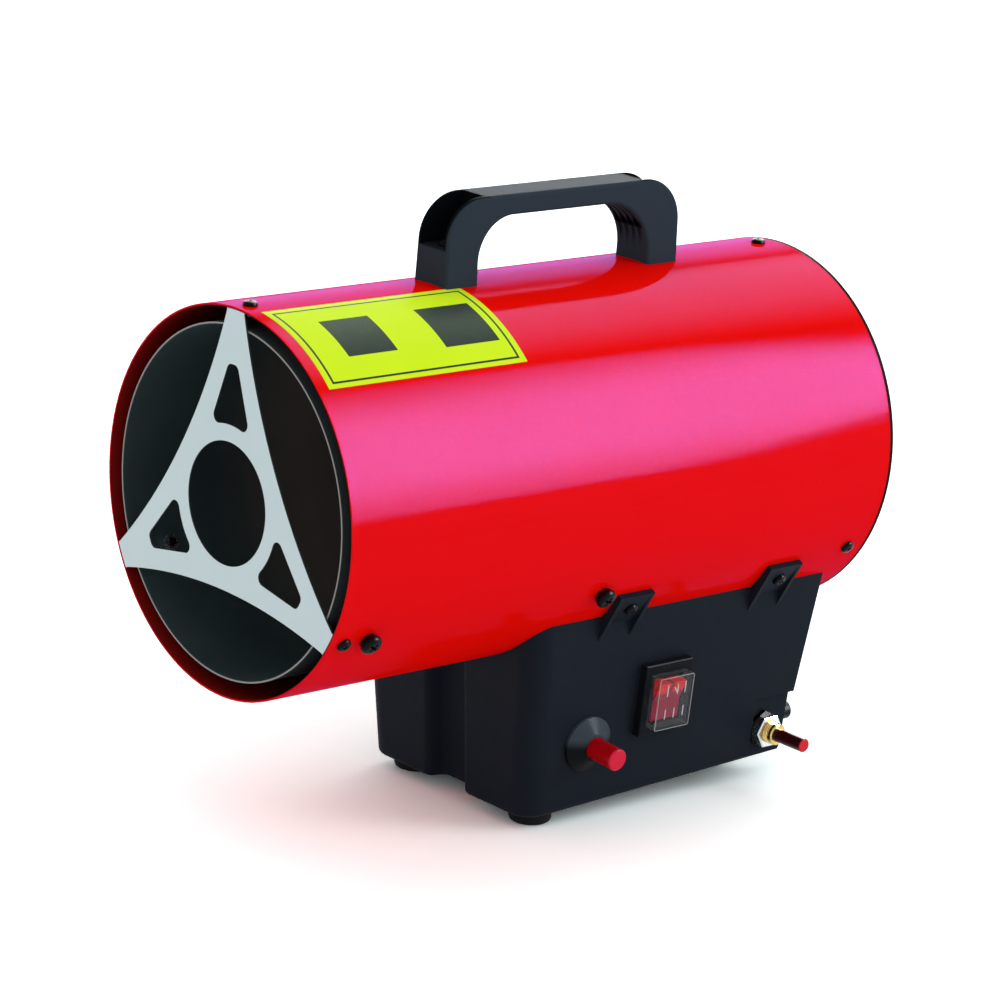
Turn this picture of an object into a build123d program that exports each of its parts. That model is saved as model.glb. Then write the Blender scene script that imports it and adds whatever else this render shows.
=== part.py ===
from build123d import *
import os
from math import cos, radians, sin, sqrt, tan

# Portable gas-fired space heater: a round steel casing that rides on a moulded control tray.
# Frame: origin on the floor under the middle of the casing, +Z up, casing axis along Y.
# Warm air leaves towards -Y and the controls are on the +X side.
# Lengths are millimetres and angles are degrees. Angles round the casing start at +X.

os.makedirs("parts", exist_ok=True)

# ---------------------------------------------------------------- driving dimensions
# casing
CASING_DIAMETER = 185.0
CASING_WALL = 1.0
CASING_LENGTH = 342.0
AXIS_HEIGHT = 171.0

# combustion chamber
CHAMBER_DIAMETER = 167.4
CHAMBER_WALL = 0.8
CHAMBER_INSET = 1.1
CHAMBER_FROM_REAR = 130.2
CHAMBER_ANGLES = (-30.0, 210.0)
CHAMBER_SCREW_FRONT = 22.0
CHAMBER_SCREW_PITCH = 143.0

# front guard
GUARD_SHEET = 0.8
GUARD_FIT = 0.3
GUARD_WAIST = 41.3
GUARD_SIDE_RADIUS = 306.0
GUARD_HOLE_DIAMETER = 58.6
GUARD_RING = 8.0
GUARD_WINDOW_TIP = 65.8
GUARD_WINDOW_TIP_WIDTH = 7.0
GUARD_WINDOW_WIDTH = 34.0
GUARD_WINDOW_FILLET = 3.6
GUARD_TAB = 14.0
GUARD_TAB_WIDTH = 13.0
GUARD_SCREW_INSET = 8.0
GUARD_ANGLES = (90.0, 210.0, 330.0)

# rear grille
GRILLE_SHEET = 2.0
GRILLE_SKIRT = 18.0
GRILLE_SKIRT_WALL = 1.6
GRILLE_FIT = 0.2
GRILLE_CENTRE_DIAMETER = 78.0
GRILLE_SLOT = 6.0
GRILLE_RIB = 3.6
GRILLE_ROWS = 4
GRILLE_SPOKES = 6
GRILLE_SPOKE_WIDTH = 6.0
GRILLE_SCREW_INSET = 11.8

# burner
BURNER_SETBACK = 34.0
CUP_DIAMETER = 96.0
CUP_FLOOR_DIAMETER = 78.0
CUP_DEPTH = 22.0
CUP_SHEET = 1.0
CUP_HOLE = 6.0
CUP_HOLES = 12
CUP_HOLE_CIRCLE = 60.0
SPIDER_SHEET = 1.5
SPIDER_HUB = 34.0
SPIDER_ARM = 12.0
SPIDER_TAB = 12.0
SPIDER_ANGLES = (30.0, 150.0, 270.0)
NOZZLE_BORE = 1.6
NOZZLE_STEM = 8.0
NOZZLE_HEX = 13.0
NOZZLE_LENGTH = 30.0
NOZZLE_TAIL = 10.0
NOZZLE_TAPER = 6.0
NOZZLE_HEX_LENGTH = 6.0
PROBE_DROP = 30.0
PROBE_SIDE = 11.0
ELECTRODE_CERAMIC = 6.0
ELECTRODE_PIN = 2.0
THERMOCOUPLE_DIAMETER = 4.0
PROBE_REACH = 30.0
PROBE_TAIL = 14.0
PROBE_SHOULDER = 4.0
PIPE_DIAMETER = 6.0
LEAD_DIAMETER = 4.0
CAPILLARY_DIAMETER = 2.4

# fan and motor
MOTOR_DIAMETER = 72.0
MOTOR_LENGTH = 48.0
MOTOR_BOSS = 26.0
MOTOR_BOSS_LENGTH = 5.0
MOTOR_SCREW_CIRCLE = 56.0
MOTOR_SCREW_LENGTH = 9.0
MOTOR_SCREW_DEPTH = 10.0
SHAFT_DIAMETER = 6.0
SHAFT_BELOW = 30.0
SHAFT_FIT = 0.05
FAN_DIAMETER = 156.0
FAN_HUB = 40.0
FAN_HUB_LENGTH = 20.0
FAN_HUB_NOSE = 6.0
FAN_ROOT_SINK = 4.0
FAN_GAP = 4.0
FAN_BLADES = 5
FAN_SHEET = 1.6
FAN_ROOT_CHORD = 26.0
FAN_TIP_CHORD = 52.0
FAN_ROOT_PITCH = 48.0
FAN_TIP_PITCH = 24.0
FAN_CAMBER = 3.0

# handle
HANDLE_FRONT = 114.0
HANDLE_LENGTH = 148.8
HANDLE_HEIGHT = 41.4
HANDLE_WIDTH = 24.0
HANDLE_DRAFT = 2.0
HANDLE_GRIP = 10.0
HANDLE_LEG = 20.1
HANDLE_CHEEK = 2.5
HANDLE_OUTER_RADIUS = 21.5
HANDLE_FRONT_RADIUS = 21.5
HANDLE_REAR_RADIUS = 27.0
HANDLE_SLOT_RADIUS = 12.0
HANDLE_BLOCK = 17.5
HANDLE_PLATE_INSET = 24.0
HANDLE_RIBS = 3
HANDLE_RIB = 1.6
HANDLE_EDGE = 1.8
HANDLE_SCREW_HEAD = 8.0

# control tray, sizes at floor level
TRAY_WIDTH = 118.8
TRAY_LENGTH = 168.7
TRAY_FROM_REAR = 28.3
TRAY_SIDE_DRAFT = 4.5
TRAY_FRONT_DRAFT = 4.9
TRAY_REAR_DRAFT = 7.4
TRAY_WALL = 3.0
TRAY_CORNER = 12.0
TRAY_REAR_CORNER = 4.0
TRAY_EDGE = 3.0
TRAY_CLEAR_FRONT = 6.6
TRAY_CLEAR_REAR = 13.1
TRAY_FIT = 0.15
GROOVE_WIDTH = 19.4
GROOVE_FLARE = 4.2
GROOVE_DEPTH = 8.5
GROOVE_FILLET = 4.0
PAD_FROM_REAR = 20.7
PAD_HEIGHT = 45.0
SPOT_PROUD = 5.1
SPOT_LENGTH = 5.0
SPOT_DIAMETER = 20.0
TAB_LENGTH = 22.0
TAB_SHEET = 3.0
TAB_TOP_ANGLE = -32.0
TAB_LOW_ANGLE = -47.0
TAB_FRONT_INSET = 43.0
TAB_REAR_INSET = 25.7
TAB_GUSSET = 2.0
TAB_GUSSET_DROP = 76.0
TAB_SCREW_ANGLE = -37.5

# feet
FOOT_DIAMETER = 22.0
FOOT_FRONT_SIDE = 44.0
FOOT_REAR_SIDE = 24.0
FOOT_FRONT_INSET = 16.7
FOOT_REAR_INSET = 20.7
FOOT_ROUND = 1.5
FOOT_BORE = 9.0
FOOT_BORE_DEPTH = 4.0
FOOT_BLANK = 20.0
FOOT_BOSS_HEIGHT = 6.0

# rocker switch
SWITCH_FROM_FRONT = 78.7
SWITCH_BELOW_AXIS = 111.2
BEZEL_WIDTH = 30.4
BEZEL_HEIGHT = 37.2
BEZEL_PROUD = 4.7
SWITCH_BODY_WIDTH = 24.0
SWITCH_BODY_HEIGHT = 30.0
SWITCH_BODY_DEPTH = 24.0
WELL_WIDTH = 18.6
WELL_HEIGHT = 24.0
WELL_DEPTH = 12.0
ROCKER_WIDTH = 18.0
ROCKER_TILT = 11.0
ROCKER_REACH = 10.6
ROCKER_CREST = 2.4
ROCKER_PIVOT = 4.0
ROCKER_PIN = 3.0
ROCKER_PIN_REACH = 1.0
TERMINAL_WIDTH = 6.3
TERMINAL_SHEET = 0.8
TERMINAL_LENGTH = 9.0
COVER_WIDTH = 22.6
COVER_HEIGHT = 27.4
COVER_DEPTH = 6.3
COVER_WALL = 1.0

# piezo igniter
IGNITER_FROM_FRONT = 33.5
IGNITER_HEIGHT = 42.0
COLLAR_DIAMETER = 28.0
COLLAR_TOP = 13.6
COLLAR_RIM = 1.6
COLLAR_HEIGHT = 6.4
IGNITER_BUTTON = 11.0
IGNITER_PROUD = 23.0
IGNITER_TRAVEL = 6.0
IGNITER_NECK = 12.8
IGNITER_NECK_HEIGHT = 4.0
IGNITER_BARREL = 19.0
IGNITER_DEPTH = 38.0
IGNITER_SPRING_SOLID = 4.0
SLIDE_FIT = 0.15

# gas valve
VALVE_FROM_REAR = 11.7
VALVE_HEIGHT = 27.0
VALVE_BODY_LENGTH = 26.0
VALVE_BODY_WIDTH = 15.0
VALVE_BODY_HEIGHT = 17.0
BUSH_DIAMETER = 11.4
BUSH_PROUD = 12.5
BACKING_FLATS = 17.4
BACKING_HEIGHT = 2.2
NUT_FLATS = 15.4
NUT_HEIGHT = 4.5
VALVE_BUTTON = 7.0
VALVE_PROUD = 31.0
VALVE_TRAVEL = 5.0
VALVE_SPRING_SOLID = 3.0
INLET_FROM_WALL = 15.5
INLET_THREAD = 9.6
INLET_BORE = 4.0
INLET_HEX = 14.0
INLET_HEX_LENGTH = 5.0
INLET_PROUD = 16.0

# cable gland
GLAND_SIDE = -36.0
GLAND_HEIGHT = 28.0
GLAND_DIAMETER = 17.0
GLAND_PROUD = 15.0
GLAND_THREAD = 12.0
GLAND_BORE = 7.0

# fasteners
SMALL_HEAD = 7.0
SMALL_HEAD_HEIGHT = 2.2
SMALL_SHANK = 3.5
SMALL_LENGTH = 5.5
LARGE_HEAD = 10.5
LARGE_HEAD_HEIGHT = 3.0
LARGE_NECK = 8.0
LARGE_NECK_HEIGHT = 2.6
LARGE_SHANK = 4.2
HOLE_FIT = 0.2
FASTENER_FIT = 0.05
SHEET_CUT = 20.0
NUT_LARGE_FLATS = 7.0
NUT_LARGE_HEIGHT = 3.2

# pipe run
PIPE_RUN = 27.7
LEAD_RUN = 19.2
CAPILLARY_BELOW = 5.0
MOTOR_LEAD_SIDE = -17.0
MOTOR_LEAD_FROM_REAR = 40.0
MOTOR_LEAD_ENTRY = 8.0
WINDOW_WIDTH = 34.0
WINDOW_LENGTH = 30.0
PIPE_BEND = 10.0
LEAD_BEND = 6.0

# ---------------------------------------------------------------- worked-out sizes
CASING_R = CASING_DIAMETER / 2
BORE_R = CASING_R - CASING_WALL
FRONT_Y = -CASING_LENGTH / 2
REAR_Y = CASING_LENGTH / 2
CHAMBER_R = CHAMBER_DIAMETER / 2
CHAMBER_FRONT_Y = FRONT_Y + CHAMBER_INSET
CHAMBER_REAR_Y = REAR_Y - CHAMBER_FROM_REAR
CHAMBER_LENGTH = CHAMBER_REAR_Y - CHAMBER_FRONT_Y
CHAMBER_SCREW_YS = (FRONT_Y + CHAMBER_SCREW_FRONT, FRONT_Y + CHAMBER_SCREW_FRONT + CHAMBER_SCREW_PITCH)
GUARD_SCREW_Y = FRONT_Y + GUARD_SCREW_INSET
GRILLE_SCREW_Y = REAR_Y - GRILLE_SCREW_INSET
SIDE_SLOPE = tan(radians(TRAY_SIDE_DRAFT))
FRONT_SLOPE = tan(radians(TRAY_FRONT_DRAFT))
REAR_SLOPE = tan(radians(TRAY_REAR_DRAFT))
TRAY_REAR_Y = REAR_Y - TRAY_FROM_REAR
TRAY_FRONT_Y = TRAY_REAR_Y - TRAY_LENGTH
TRAY_BOTTOM_SLOPE = (TRAY_CLEAR_REAR - TRAY_CLEAR_FRONT) / TRAY_LENGTH
TAB_YS = (TRAY_FRONT_Y + TAB_FRONT_INSET, TRAY_REAR_Y - TAB_REAR_INSET)
PAD_X = TRAY_WIDTH / 2
SWITCH_HEIGHT = AXIS_HEIGHT - SWITCH_BELOW_AXIS
PAD_Y = TRAY_REAR_Y - PAD_FROM_REAR
SPOT_Y = TRAY_REAR_Y + SPOT_PROUD
VALVE_Y = TRAY_REAR_Y - VALVE_FROM_REAR
CUP_FLOOR_Y = CHAMBER_REAR_Y - BURNER_SETBACK + CUP_DEPTH
NOZZLE_BACK_Y = CUP_FLOOR_Y + SPIDER_SHEET + NOZZLE_TAIL
PROBE_BACK_Y = CUP_FLOOR_Y + PROBE_TAIL
PIPE_DROP_Y = NOZZLE_BACK_Y + PIPE_RUN
LEAD_DROP_Y = PROBE_BACK_Y + LEAD_RUN
LOWER = (Align.CENTER, Align.CENTER, Align.MIN)
UPPER = (Align.CENTER, Align.CENTER, Align.MAX)


# ---------------------------------------------------------------- places
def across(y):
    """Plane across the casing at y, facing the outlet, with its origin on the casing axis."""
    return Plane(origin=(0, y, AXIS_HEIGHT), x_dir=(1, 0, 0), z_dir=(0, -1, 0))


def radial(angle, y, radius=CASING_R):
    """Plane on a cylinder about the casing axis, facing outwards, with x along the casing."""
    c, s = cos(radians(angle)), sin(radians(angle))
    return Plane(origin=(radius * c, y, AXIS_HEIGHT + radius * s), x_dir=(0, 1, 0), z_dir=(c, 0, s))


def on_side_wall(y, z):
    """Plane on the outside of the tray's control wall, facing outwards, with y up the wall."""
    x = TRAY_WIDTH / 2 + z * SIDE_SLOPE
    tilt = radians(TRAY_SIDE_DRAFT)
    return Plane(origin=(x, y, z), x_dir=(0, 1, 0), z_dir=(cos(tilt), 0, -sin(tilt)))


def tray_bottom(y):
    """Height of the tray's underside above the floor."""
    return TRAY_CLEAR_FRONT + TRAY_BOTTOM_SLOPE * (y - TRAY_FRONT_Y)


def turn(seat, outline):
    """Revolve an outline of (radius, height) points about the normal of a seat plane."""
    half = Plane(origin=seat.origin, x_dir=seat.x_dir, z_dir=seat.x_dir.cross(seat.z_dir))
    with BuildSketch(half) as profile:
        with BuildLine():
            Polyline(*outline, close=True)
        make_face()
    revolve(profile.sketch, axis=Axis(seat.origin, seat.z_dir))


def screw(seat, head, height, shank, length):
    """Pan-head screw whose head stands on the seat plane."""
    r, s = head / 2, shank / 2
    turn(
        seat,
        [
            (0, -length),
            (s, -length),
            (s, 0),
            (r, 0),
            (r, 0.45 * height),
            (0.62 * r, height),
            (0, height),
        ],
    )


# ================================================================ casing and outlet
# Outer casing: rolled sheet tube with its screw holes and a cable window over the tray.
with BuildPart() as outer_casing:
    with BuildSketch(across(FRONT_Y)):
        Circle(CASING_R)
        Circle(BORE_R, mode=Mode.SUBTRACT)
    extrude(amount=-CASING_LENGTH)
    small_hole = SMALL_SHANK / 2 + HOLE_FIT
    large_hole = LARGE_SHANK / 2 + HOLE_FIT
    for angle in GUARD_ANGLES:
        with Locations(radial(angle, GUARD_SCREW_Y), radial(angle, GRILLE_SCREW_Y)):
            Cylinder(small_hole, 10, mode=Mode.SUBTRACT)
    for angle in CHAMBER_ANGLES:
        with Locations(*[radial(angle, y) for y in CHAMBER_SCREW_YS]):
            Cylinder(large_hole, 10, mode=Mode.SUBTRACT)
    for angle in (TAB_SCREW_ANGLE, 180 - TAB_SCREW_ANGLE):
        with Locations(*[radial(angle, y) for y in TAB_YS]):
            Cylinder(small_hole, 10, mode=Mode.SUBTRACT)
    handle_front_y = FRONT_Y + HANDLE_FRONT
    handle_rear_y = handle_front_y + HANDLE_LENGTH
    handle_screw_inset = (HANDLE_LEG - HANDLE_CHEEK) / 2
    HANDLE_SCREW_YS = (handle_front_y + handle_screw_inset, handle_rear_y - handle_screw_inset)
    with Locations(*[radial(90, y) for y in HANDLE_SCREW_YS]):
        Cylinder(large_hole, 10, mode=Mode.SUBTRACT)
    with Locations((0, PIPE_DROP_Y, AXIS_HEIGHT - CASING_R)):
        Box(WINDOW_WIDTH, WINDOW_LENGTH, SHEET_CUT, mode=Mode.SUBTRACT)
    MOTOR_LEAD_Y = REAR_Y - MOTOR_LEAD_FROM_REAR
    with Locations((MOTOR_LEAD_SIDE, MOTOR_LEAD_Y, AXIS_HEIGHT - CASING_R)):
        Cylinder(LEAD_DIAMETER, SHEET_CUT, mode=Mode.SUBTRACT)
outer_casing.part.label = "outer_casing"
export_step(outer_casing.part, "parts/outer_casing.step")

# Combustion chamber: inner tube that keeps the flame off the casing.
with BuildPart() as combustion_chamber:
    with BuildSketch(across(CHAMBER_FRONT_Y)):
        Circle(CHAMBER_R)
        Circle(CHAMBER_R - CHAMBER_WALL, mode=Mode.SUBTRACT)
    extrude(amount=-CHAMBER_LENGTH)
    for angle in CHAMBER_ANGLES:
        with Locations(*[radial(angle, y, CHAMBER_R) for y in CHAMBER_SCREW_YS]):
            Cylinder(LARGE_SHANK / 2 + HOLE_FIT, 10, mode=Mode.SUBTRACT)
    SPIDER_Y = CHAMBER_REAR_Y - SPIDER_TAB / 2
    for angle in SPIDER_ANGLES:
        with Locations(radial(angle, SPIDER_Y, CHAMBER_R)):
            Cylinder(SMALL_SHANK / 2 + HOLE_FIT, 10, mode=Mode.SUBTRACT)
combustion_chamber.part.label = "combustion_chamber"
export_step(combustion_chamber.part, "parts/combustion_chamber.step")

# Spacer sleeves between chamber and casing, shaped to both tubes.
with BuildPart() as chamber_spacers:
    for angle in CHAMBER_ANGLES:
        with Locations(*[radial(angle, y, CHAMBER_R - 4) for y in CHAMBER_SCREW_YS]):
            Cylinder(LARGE_HEAD / 2, 20, align=LOWER)
            Cylinder(LARGE_SHANK / 2 + HOLE_FIT, 20, align=LOWER, mode=Mode.SUBTRACT)
    with Locations(across(0)):
        Cylinder(BORE_R - FASTENER_FIT, 2 * CASING_LENGTH, mode=Mode.INTERSECT)
        Cylinder(CHAMBER_R + FASTENER_FIT, 2 * CASING_LENGTH, mode=Mode.SUBTRACT)
chamber_spacers.part.label = "chamber_spacers"
export_step(chamber_spacers.part, "parts/chamber_spacers.step")

# Chamber screws: large heads on a neck that stand proud of the casing.
CHAMBER_BITE = CASING_R - (CHAMBER_R - CHAMBER_WALL) + NUT_LARGE_HEIGHT + 1.2
with BuildPart() as chamber_screws:
    for angle in CHAMBER_ANGLES:
        for y in CHAMBER_SCREW_YS:
            neck, head, shank = LARGE_NECK / 2, LARGE_HEAD / 2, LARGE_SHANK / 2
            base = FASTENER_FIT
            top = LARGE_NECK_HEIGHT + LARGE_HEAD_HEIGHT
            turn(
                radial(angle, y),
                [
                    (0, -CHAMBER_BITE),
                    (shank, -CHAMBER_BITE),
                    (shank, base),
                    (neck, base),
                    (neck, LARGE_NECK_HEIGHT),
                    (head, LARGE_NECK_HEIGHT),
                    (head, top - 1.0),
                    (head - 1.0, top),
                    (0, top),
                ],
            )
chamber_screws.part.label = "chamber_screws"
export_step(chamber_screws.part, "parts/chamber_screws.step")

# Hex nuts inside the chamber that take the chamber screws.
with BuildPart() as chamber_nuts:
    for angle in CHAMBER_ANGLES:
        for y in CHAMBER_SCREW_YS:
            with BuildSketch(radial(angle, y, CHAMBER_R - CHAMBER_WALL - 0.4)):
                RegularPolygon(NUT_LARGE_FLATS / 2, 6, major_radius=False)
                Circle(LARGE_SHANK / 2 + FASTENER_FIT, mode=Mode.SUBTRACT)
            extrude(amount=-NUT_LARGE_HEIGHT)
chamber_nuts.part.label = "chamber_nuts"
export_step(chamber_nuts.part, "parts/chamber_nuts.step")

# Front guard: three-armed pressing with a round centre, a window in each arm and bent tabs.
GUARD_R = BORE_R - GUARD_FIT
with BuildSketch() as guard_window:
    with BuildLine():
        tip, foot = GUARD_WINDOW_TIP_WIDTH / 2, GUARD_WINDOW_WIDTH / 2
        low = GUARD_HOLE_DIAMETER / 2
        Polyline((-foot, low), (foot, low), (tip, GUARD_WINDOW_TIP), (-tip, GUARD_WINDOW_TIP), close=True)
    make_face()
    Circle(GUARD_HOLE_DIAMETER / 2 + GUARD_RING, mode=Mode.SUBTRACT)
    low_corners = guard_window.vertices().sort_by(Axis.Y)[:2]
    fillet(low_corners, GUARD_WINDOW_FILLET)
    tip_corners = guard_window.vertices().sort_by(Axis.Y)[-2:]
    fillet(tip_corners, GUARD_WINDOW_TIP_WIDTH / 2)

with BuildPart() as front_guard:
    with BuildSketch(across(FRONT_Y)):
        Circle(GUARD_R)
        with PolarLocations(GUARD_WAIST + GUARD_SIDE_RADIUS, 3, start_angle=GUARD_ANGLES[0] - 60):
            Circle(GUARD_SIDE_RADIUS, mode=Mode.SUBTRACT)
        Circle(GUARD_HOLE_DIAMETER / 2, mode=Mode.SUBTRACT)
        for angle in GUARD_ANGLES:
            add(guard_window.sketch, rotation=angle - 90, mode=Mode.SUBTRACT)
    extrude(amount=-GUARD_SHEET)
    with BuildSketch(across(FRONT_Y)):
        with PolarLocations(GUARD_R - 5, 3, start_angle=GUARD_ANGLES[0]):
            Rectangle(20, GUARD_TAB_WIDTH)
        Circle(GUARD_R, mode=Mode.INTERSECT)
        Circle(GUARD_R - GUARD_SHEET, mode=Mode.SUBTRACT)
    extrude(amount=-GUARD_TAB)
    for angle in GUARD_ANGLES:
        with Locations(radial(angle, GUARD_SCREW_Y, GUARD_R)):
            Cylinder(SMALL_SHANK / 2 + FASTENER_FIT, 10, mode=Mode.SUBTRACT)
front_guard.part.label = "front_guard"
export_step(front_guard.part, "parts/front_guard.step")

# Guard screws.
with BuildPart() as guard_screws:
    for angle in GUARD_ANGLES:
        seat = radial(angle, GUARD_SCREW_Y, CASING_R + FASTENER_FIT)
        screw(seat, SMALL_HEAD, SMALL_HEAD_HEIGHT, SMALL_SHANK, SMALL_LENGTH)
guard_screws.part.label = "guard_screws"
export_step(guard_screws.part, "parts/guard_screws.step")

# ================================================================ rear grille
# Rear grille: slotted disc behind the casing rim, with a skirt inside it and the motor on its middle.
with BuildPart() as rear_grille:
    with BuildSketch(across(REAR_Y)) as grille_face:
        Circle(CASING_R)
        for row in range(GRILLE_ROWS):
            inner = GRILLE_CENTRE_DIAMETER / 2 + row * (GRILLE_SLOT + GRILLE_RIB)
            with BuildSketch(mode=Mode.PRIVATE) as slots:
                Circle(inner + GRILLE_SLOT)
                Circle(inner, mode=Mode.SUBTRACT)
                with PolarLocations(0, GRILLE_SPOKES, start_angle=30):
                    Rectangle(
                        CASING_R,
                        GRILLE_SPOKE_WIDTH,
                        align=(Align.MIN, Align.CENTER),
                        mode=Mode.SUBTRACT,
                    )
            add(slots.sketch, mode=Mode.SUBTRACT)
        with PolarLocations(MOTOR_SCREW_CIRCLE / 2, 4, start_angle=45):
            Circle(SMALL_SHANK / 2 + FASTENER_FIT, mode=Mode.SUBTRACT)
    extrude(amount=-GRILLE_SHEET)
    with BuildSketch(across(REAR_Y)):
        Circle(BORE_R - GRILLE_FIT)
        Circle(BORE_R - GRILLE_FIT - GRILLE_SKIRT_WALL, mode=Mode.SUBTRACT)
    extrude(amount=GRILLE_SKIRT)
    for angle in GUARD_ANGLES:
        with Locations(radial(angle, GRILLE_SCREW_Y, BORE_R)):
            Cylinder(SMALL_SHANK / 2 + FASTENER_FIT, 10, mode=Mode.SUBTRACT)
rear_grille.part.label = "rear_grille"
export_step(rear_grille.part, "parts/rear_grille.step")

# Grille screws.
with BuildPart() as grille_screws:
    for angle in GUARD_ANGLES:
        seat = radial(angle, GRILLE_SCREW_Y, CASING_R + FASTENER_FIT)
        screw(seat, SMALL_HEAD, SMALL_HEAD_HEIGHT, SMALL_SHANK, SMALL_LENGTH)
grille_screws.part.label = "grille_screws"
export_step(grille_screws.part, "parts/grille_screws.step")

# ================================================================ fan and motor
# Motor: closed can with a front bearing boss, bolted to the middle of the grille.
MOTOR_REAR_Y = REAR_Y
MOTOR_FRONT_Y = MOTOR_REAR_Y - MOTOR_LENGTH
with BuildPart() as fan_motor:
    shell, boss = MOTOR_DIAMETER / 2, MOTOR_BOSS / 2
    bore = SHAFT_DIAMETER / 2 + SHAFT_FIT
    bottom = MOTOR_LENGTH - SHAFT_BELOW
    turn(
        across(MOTOR_REAR_Y),
        [
            (0, 0),
            (shell - 3, 0),
            (shell, 3),
            (shell, MOTOR_LENGTH - 4),
            (shell - 4, MOTOR_LENGTH),
            (boss, MOTOR_LENGTH),
            (boss - 2, MOTOR_LENGTH + MOTOR_BOSS_LENGTH),
            (bore, MOTOR_LENGTH + MOTOR_BOSS_LENGTH),
            (bore, bottom),
            (0, bottom),
        ],
    )
    with Locations(across(MOTOR_REAR_Y)):
        with PolarLocations(MOTOR_SCREW_CIRCLE / 2, 4, start_angle=45):
            Cylinder(SMALL_SHANK / 2 + FASTENER_FIT, 2 * MOTOR_SCREW_DEPTH, mode=Mode.SUBTRACT)
    with Locations((MOTOR_LEAD_SIDE, MOTOR_LEAD_Y, AXIS_HEIGHT - MOTOR_DIAMETER / 2)):
        Cylinder(LEAD_DIAMETER / 2 + FASTENER_FIT, 2 * MOTOR_LEAD_ENTRY, mode=Mode.SUBTRACT)
fan_motor.part.label = "fan_motor"
export_step(fan_motor.part, "parts/fan_motor.step")

# Motor screws, from outside the grille.
with BuildPart() as motor_screws:
    reach = MOTOR_SCREW_CIRCLE / 2
    outside = REAR_Y + GRILLE_SHEET + FASTENER_FIT
    with Locations(Plane(origin=(0, outside, AXIS_HEIGHT), x_dir=(1, 0, 0), z_dir=(0, 1, 0))):
        with PolarLocations(reach, 4, start_angle=45):
            Cylinder(SMALL_HEAD / 2, SMALL_HEAD_HEIGHT, align=LOWER)
            Cylinder(SMALL_SHANK / 2, MOTOR_SCREW_LENGTH, align=UPPER)
motor_screws.part.label = "motor_screws"
export_step(motor_screws.part, "parts/motor_screws.step")

# Motor shaft.
SHAFT_REAR_Y = MOTOR_REAR_Y - (MOTOR_LENGTH - SHAFT_BELOW) - 0.5
FAN_REAR_Y = MOTOR_FRONT_Y - MOTOR_BOSS_LENGTH - FAN_GAP
FAN_FRONT_Y = FAN_REAR_Y - FAN_HUB_LENGTH
SHAFT_LENGTH = SHAFT_REAR_Y - FAN_FRONT_Y + 4
with BuildPart() as motor_shaft:
    with Locations(across(SHAFT_REAR_Y)):
        Cylinder(SHAFT_DIAMETER / 2, SHAFT_LENGTH, align=LOWER)
    chamfer(motor_shaft.edges().group_by(Axis.Y)[0], 0.6)
motor_shaft.part.label = "motor_shaft"
export_step(motor_shaft.part, "parts/motor_shaft.step")

# Fan: domed hub and cambered blades that twist from root to tip.
FAN_MID_Y = (FAN_REAR_Y + FAN_FRONT_Y) / 2


def blade_section(angle, radius, chord, pitch):
    """Cambered section of a blade on the plane square to its radius."""
    a, p = radians(angle), radians(pitch)
    along = (-sin(a) * cos(p), sin(p), cos(a) * cos(p))
    origin = (radius * cos(a), FAN_MID_Y, AXIS_HEIGHT + radius * sin(a))
    half, sheet = chord / 2, FAN_SHEET / 2
    with BuildSketch(Plane(origin=origin, x_dir=along, z_dir=(cos(a), 0, sin(a)))) as section:
        with BuildLine():
            over = ThreePointArc((-half, sheet), (0, FAN_CAMBER + sheet), (half, sheet))
            under = ThreePointArc((half, -sheet), (0, FAN_CAMBER - sheet), (-half, -sheet))
            Line(over @ 1, under @ 0)
            Line(under @ 1, over @ 0)
        make_face()
    return section.sketch


with BuildPart() as fan:
    for blade in range(FAN_BLADES):
        blade_angle = 360 / FAN_BLADES * blade
        root = blade_section(blade_angle, FAN_HUB / 2 - FAN_ROOT_SINK, FAN_ROOT_CHORD, FAN_ROOT_PITCH)
        end = blade_section(blade_angle, FAN_DIAMETER / 2, FAN_TIP_CHORD, FAN_TIP_PITCH)
        loft([root, end])
    hub, nose = FAN_HUB / 2, FAN_HUB_NOSE
    turn(
        across(FAN_REAR_Y),
        [(0, 0), (hub, 0), (hub, FAN_HUB_LENGTH - nose), (hub - nose, FAN_HUB_LENGTH), (0, FAN_HUB_LENGTH)],
    )
    with Locations(across(FAN_REAR_Y)):
        Cylinder(SHAFT_DIAMETER / 2 + 0.01, 3 * FAN_HUB_LENGTH, mode=Mode.SUBTRACT)
fan.part.label = "fan"
export_step(fan.part, "parts/fan.step")

# ================================================================ burner
# Flame cup: flared pressing with a ring of air holes and ports for nozzle, electrode and probe.
with BuildPart() as flame_cup:
    rim, floor = CUP_DIAMETER / 2, CUP_FLOOR_DIAMETER / 2
    turn(
        across(CUP_FLOOR_Y),
        [
            (0, 0),
            (floor, 0),
            (rim, CUP_DEPTH),
            (rim - CUP_SHEET, CUP_DEPTH),
            (floor - CUP_SHEET, CUP_SHEET),
            (0, CUP_SHEET),
        ],
    )
    with Locations(across(CUP_FLOOR_Y)):
        with PolarLocations(CUP_HOLE_CIRCLE / 2, CUP_HOLES, start_angle=180 / CUP_HOLES + 90):
            Cylinder(CUP_HOLE / 2, 6, mode=Mode.SUBTRACT)
        Cylinder(NOZZLE_STEM / 2 + HOLE_FIT, 6, mode=Mode.SUBTRACT)
        with Locations((PROBE_SIDE, -PROBE_DROP)):
            Cylinder(ELECTRODE_CERAMIC / 2 + FASTENER_FIT, 6, mode=Mode.SUBTRACT)
        with Locations((-PROBE_SIDE, -PROBE_DROP)):
            Cylinder(THERMOCOUPLE_DIAMETER / 2 + FASTENER_FIT, 6, mode=Mode.SUBTRACT)
flame_cup.part.label = "flame_cup"
export_step(flame_cup.part, "parts/flame_cup.step")

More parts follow.
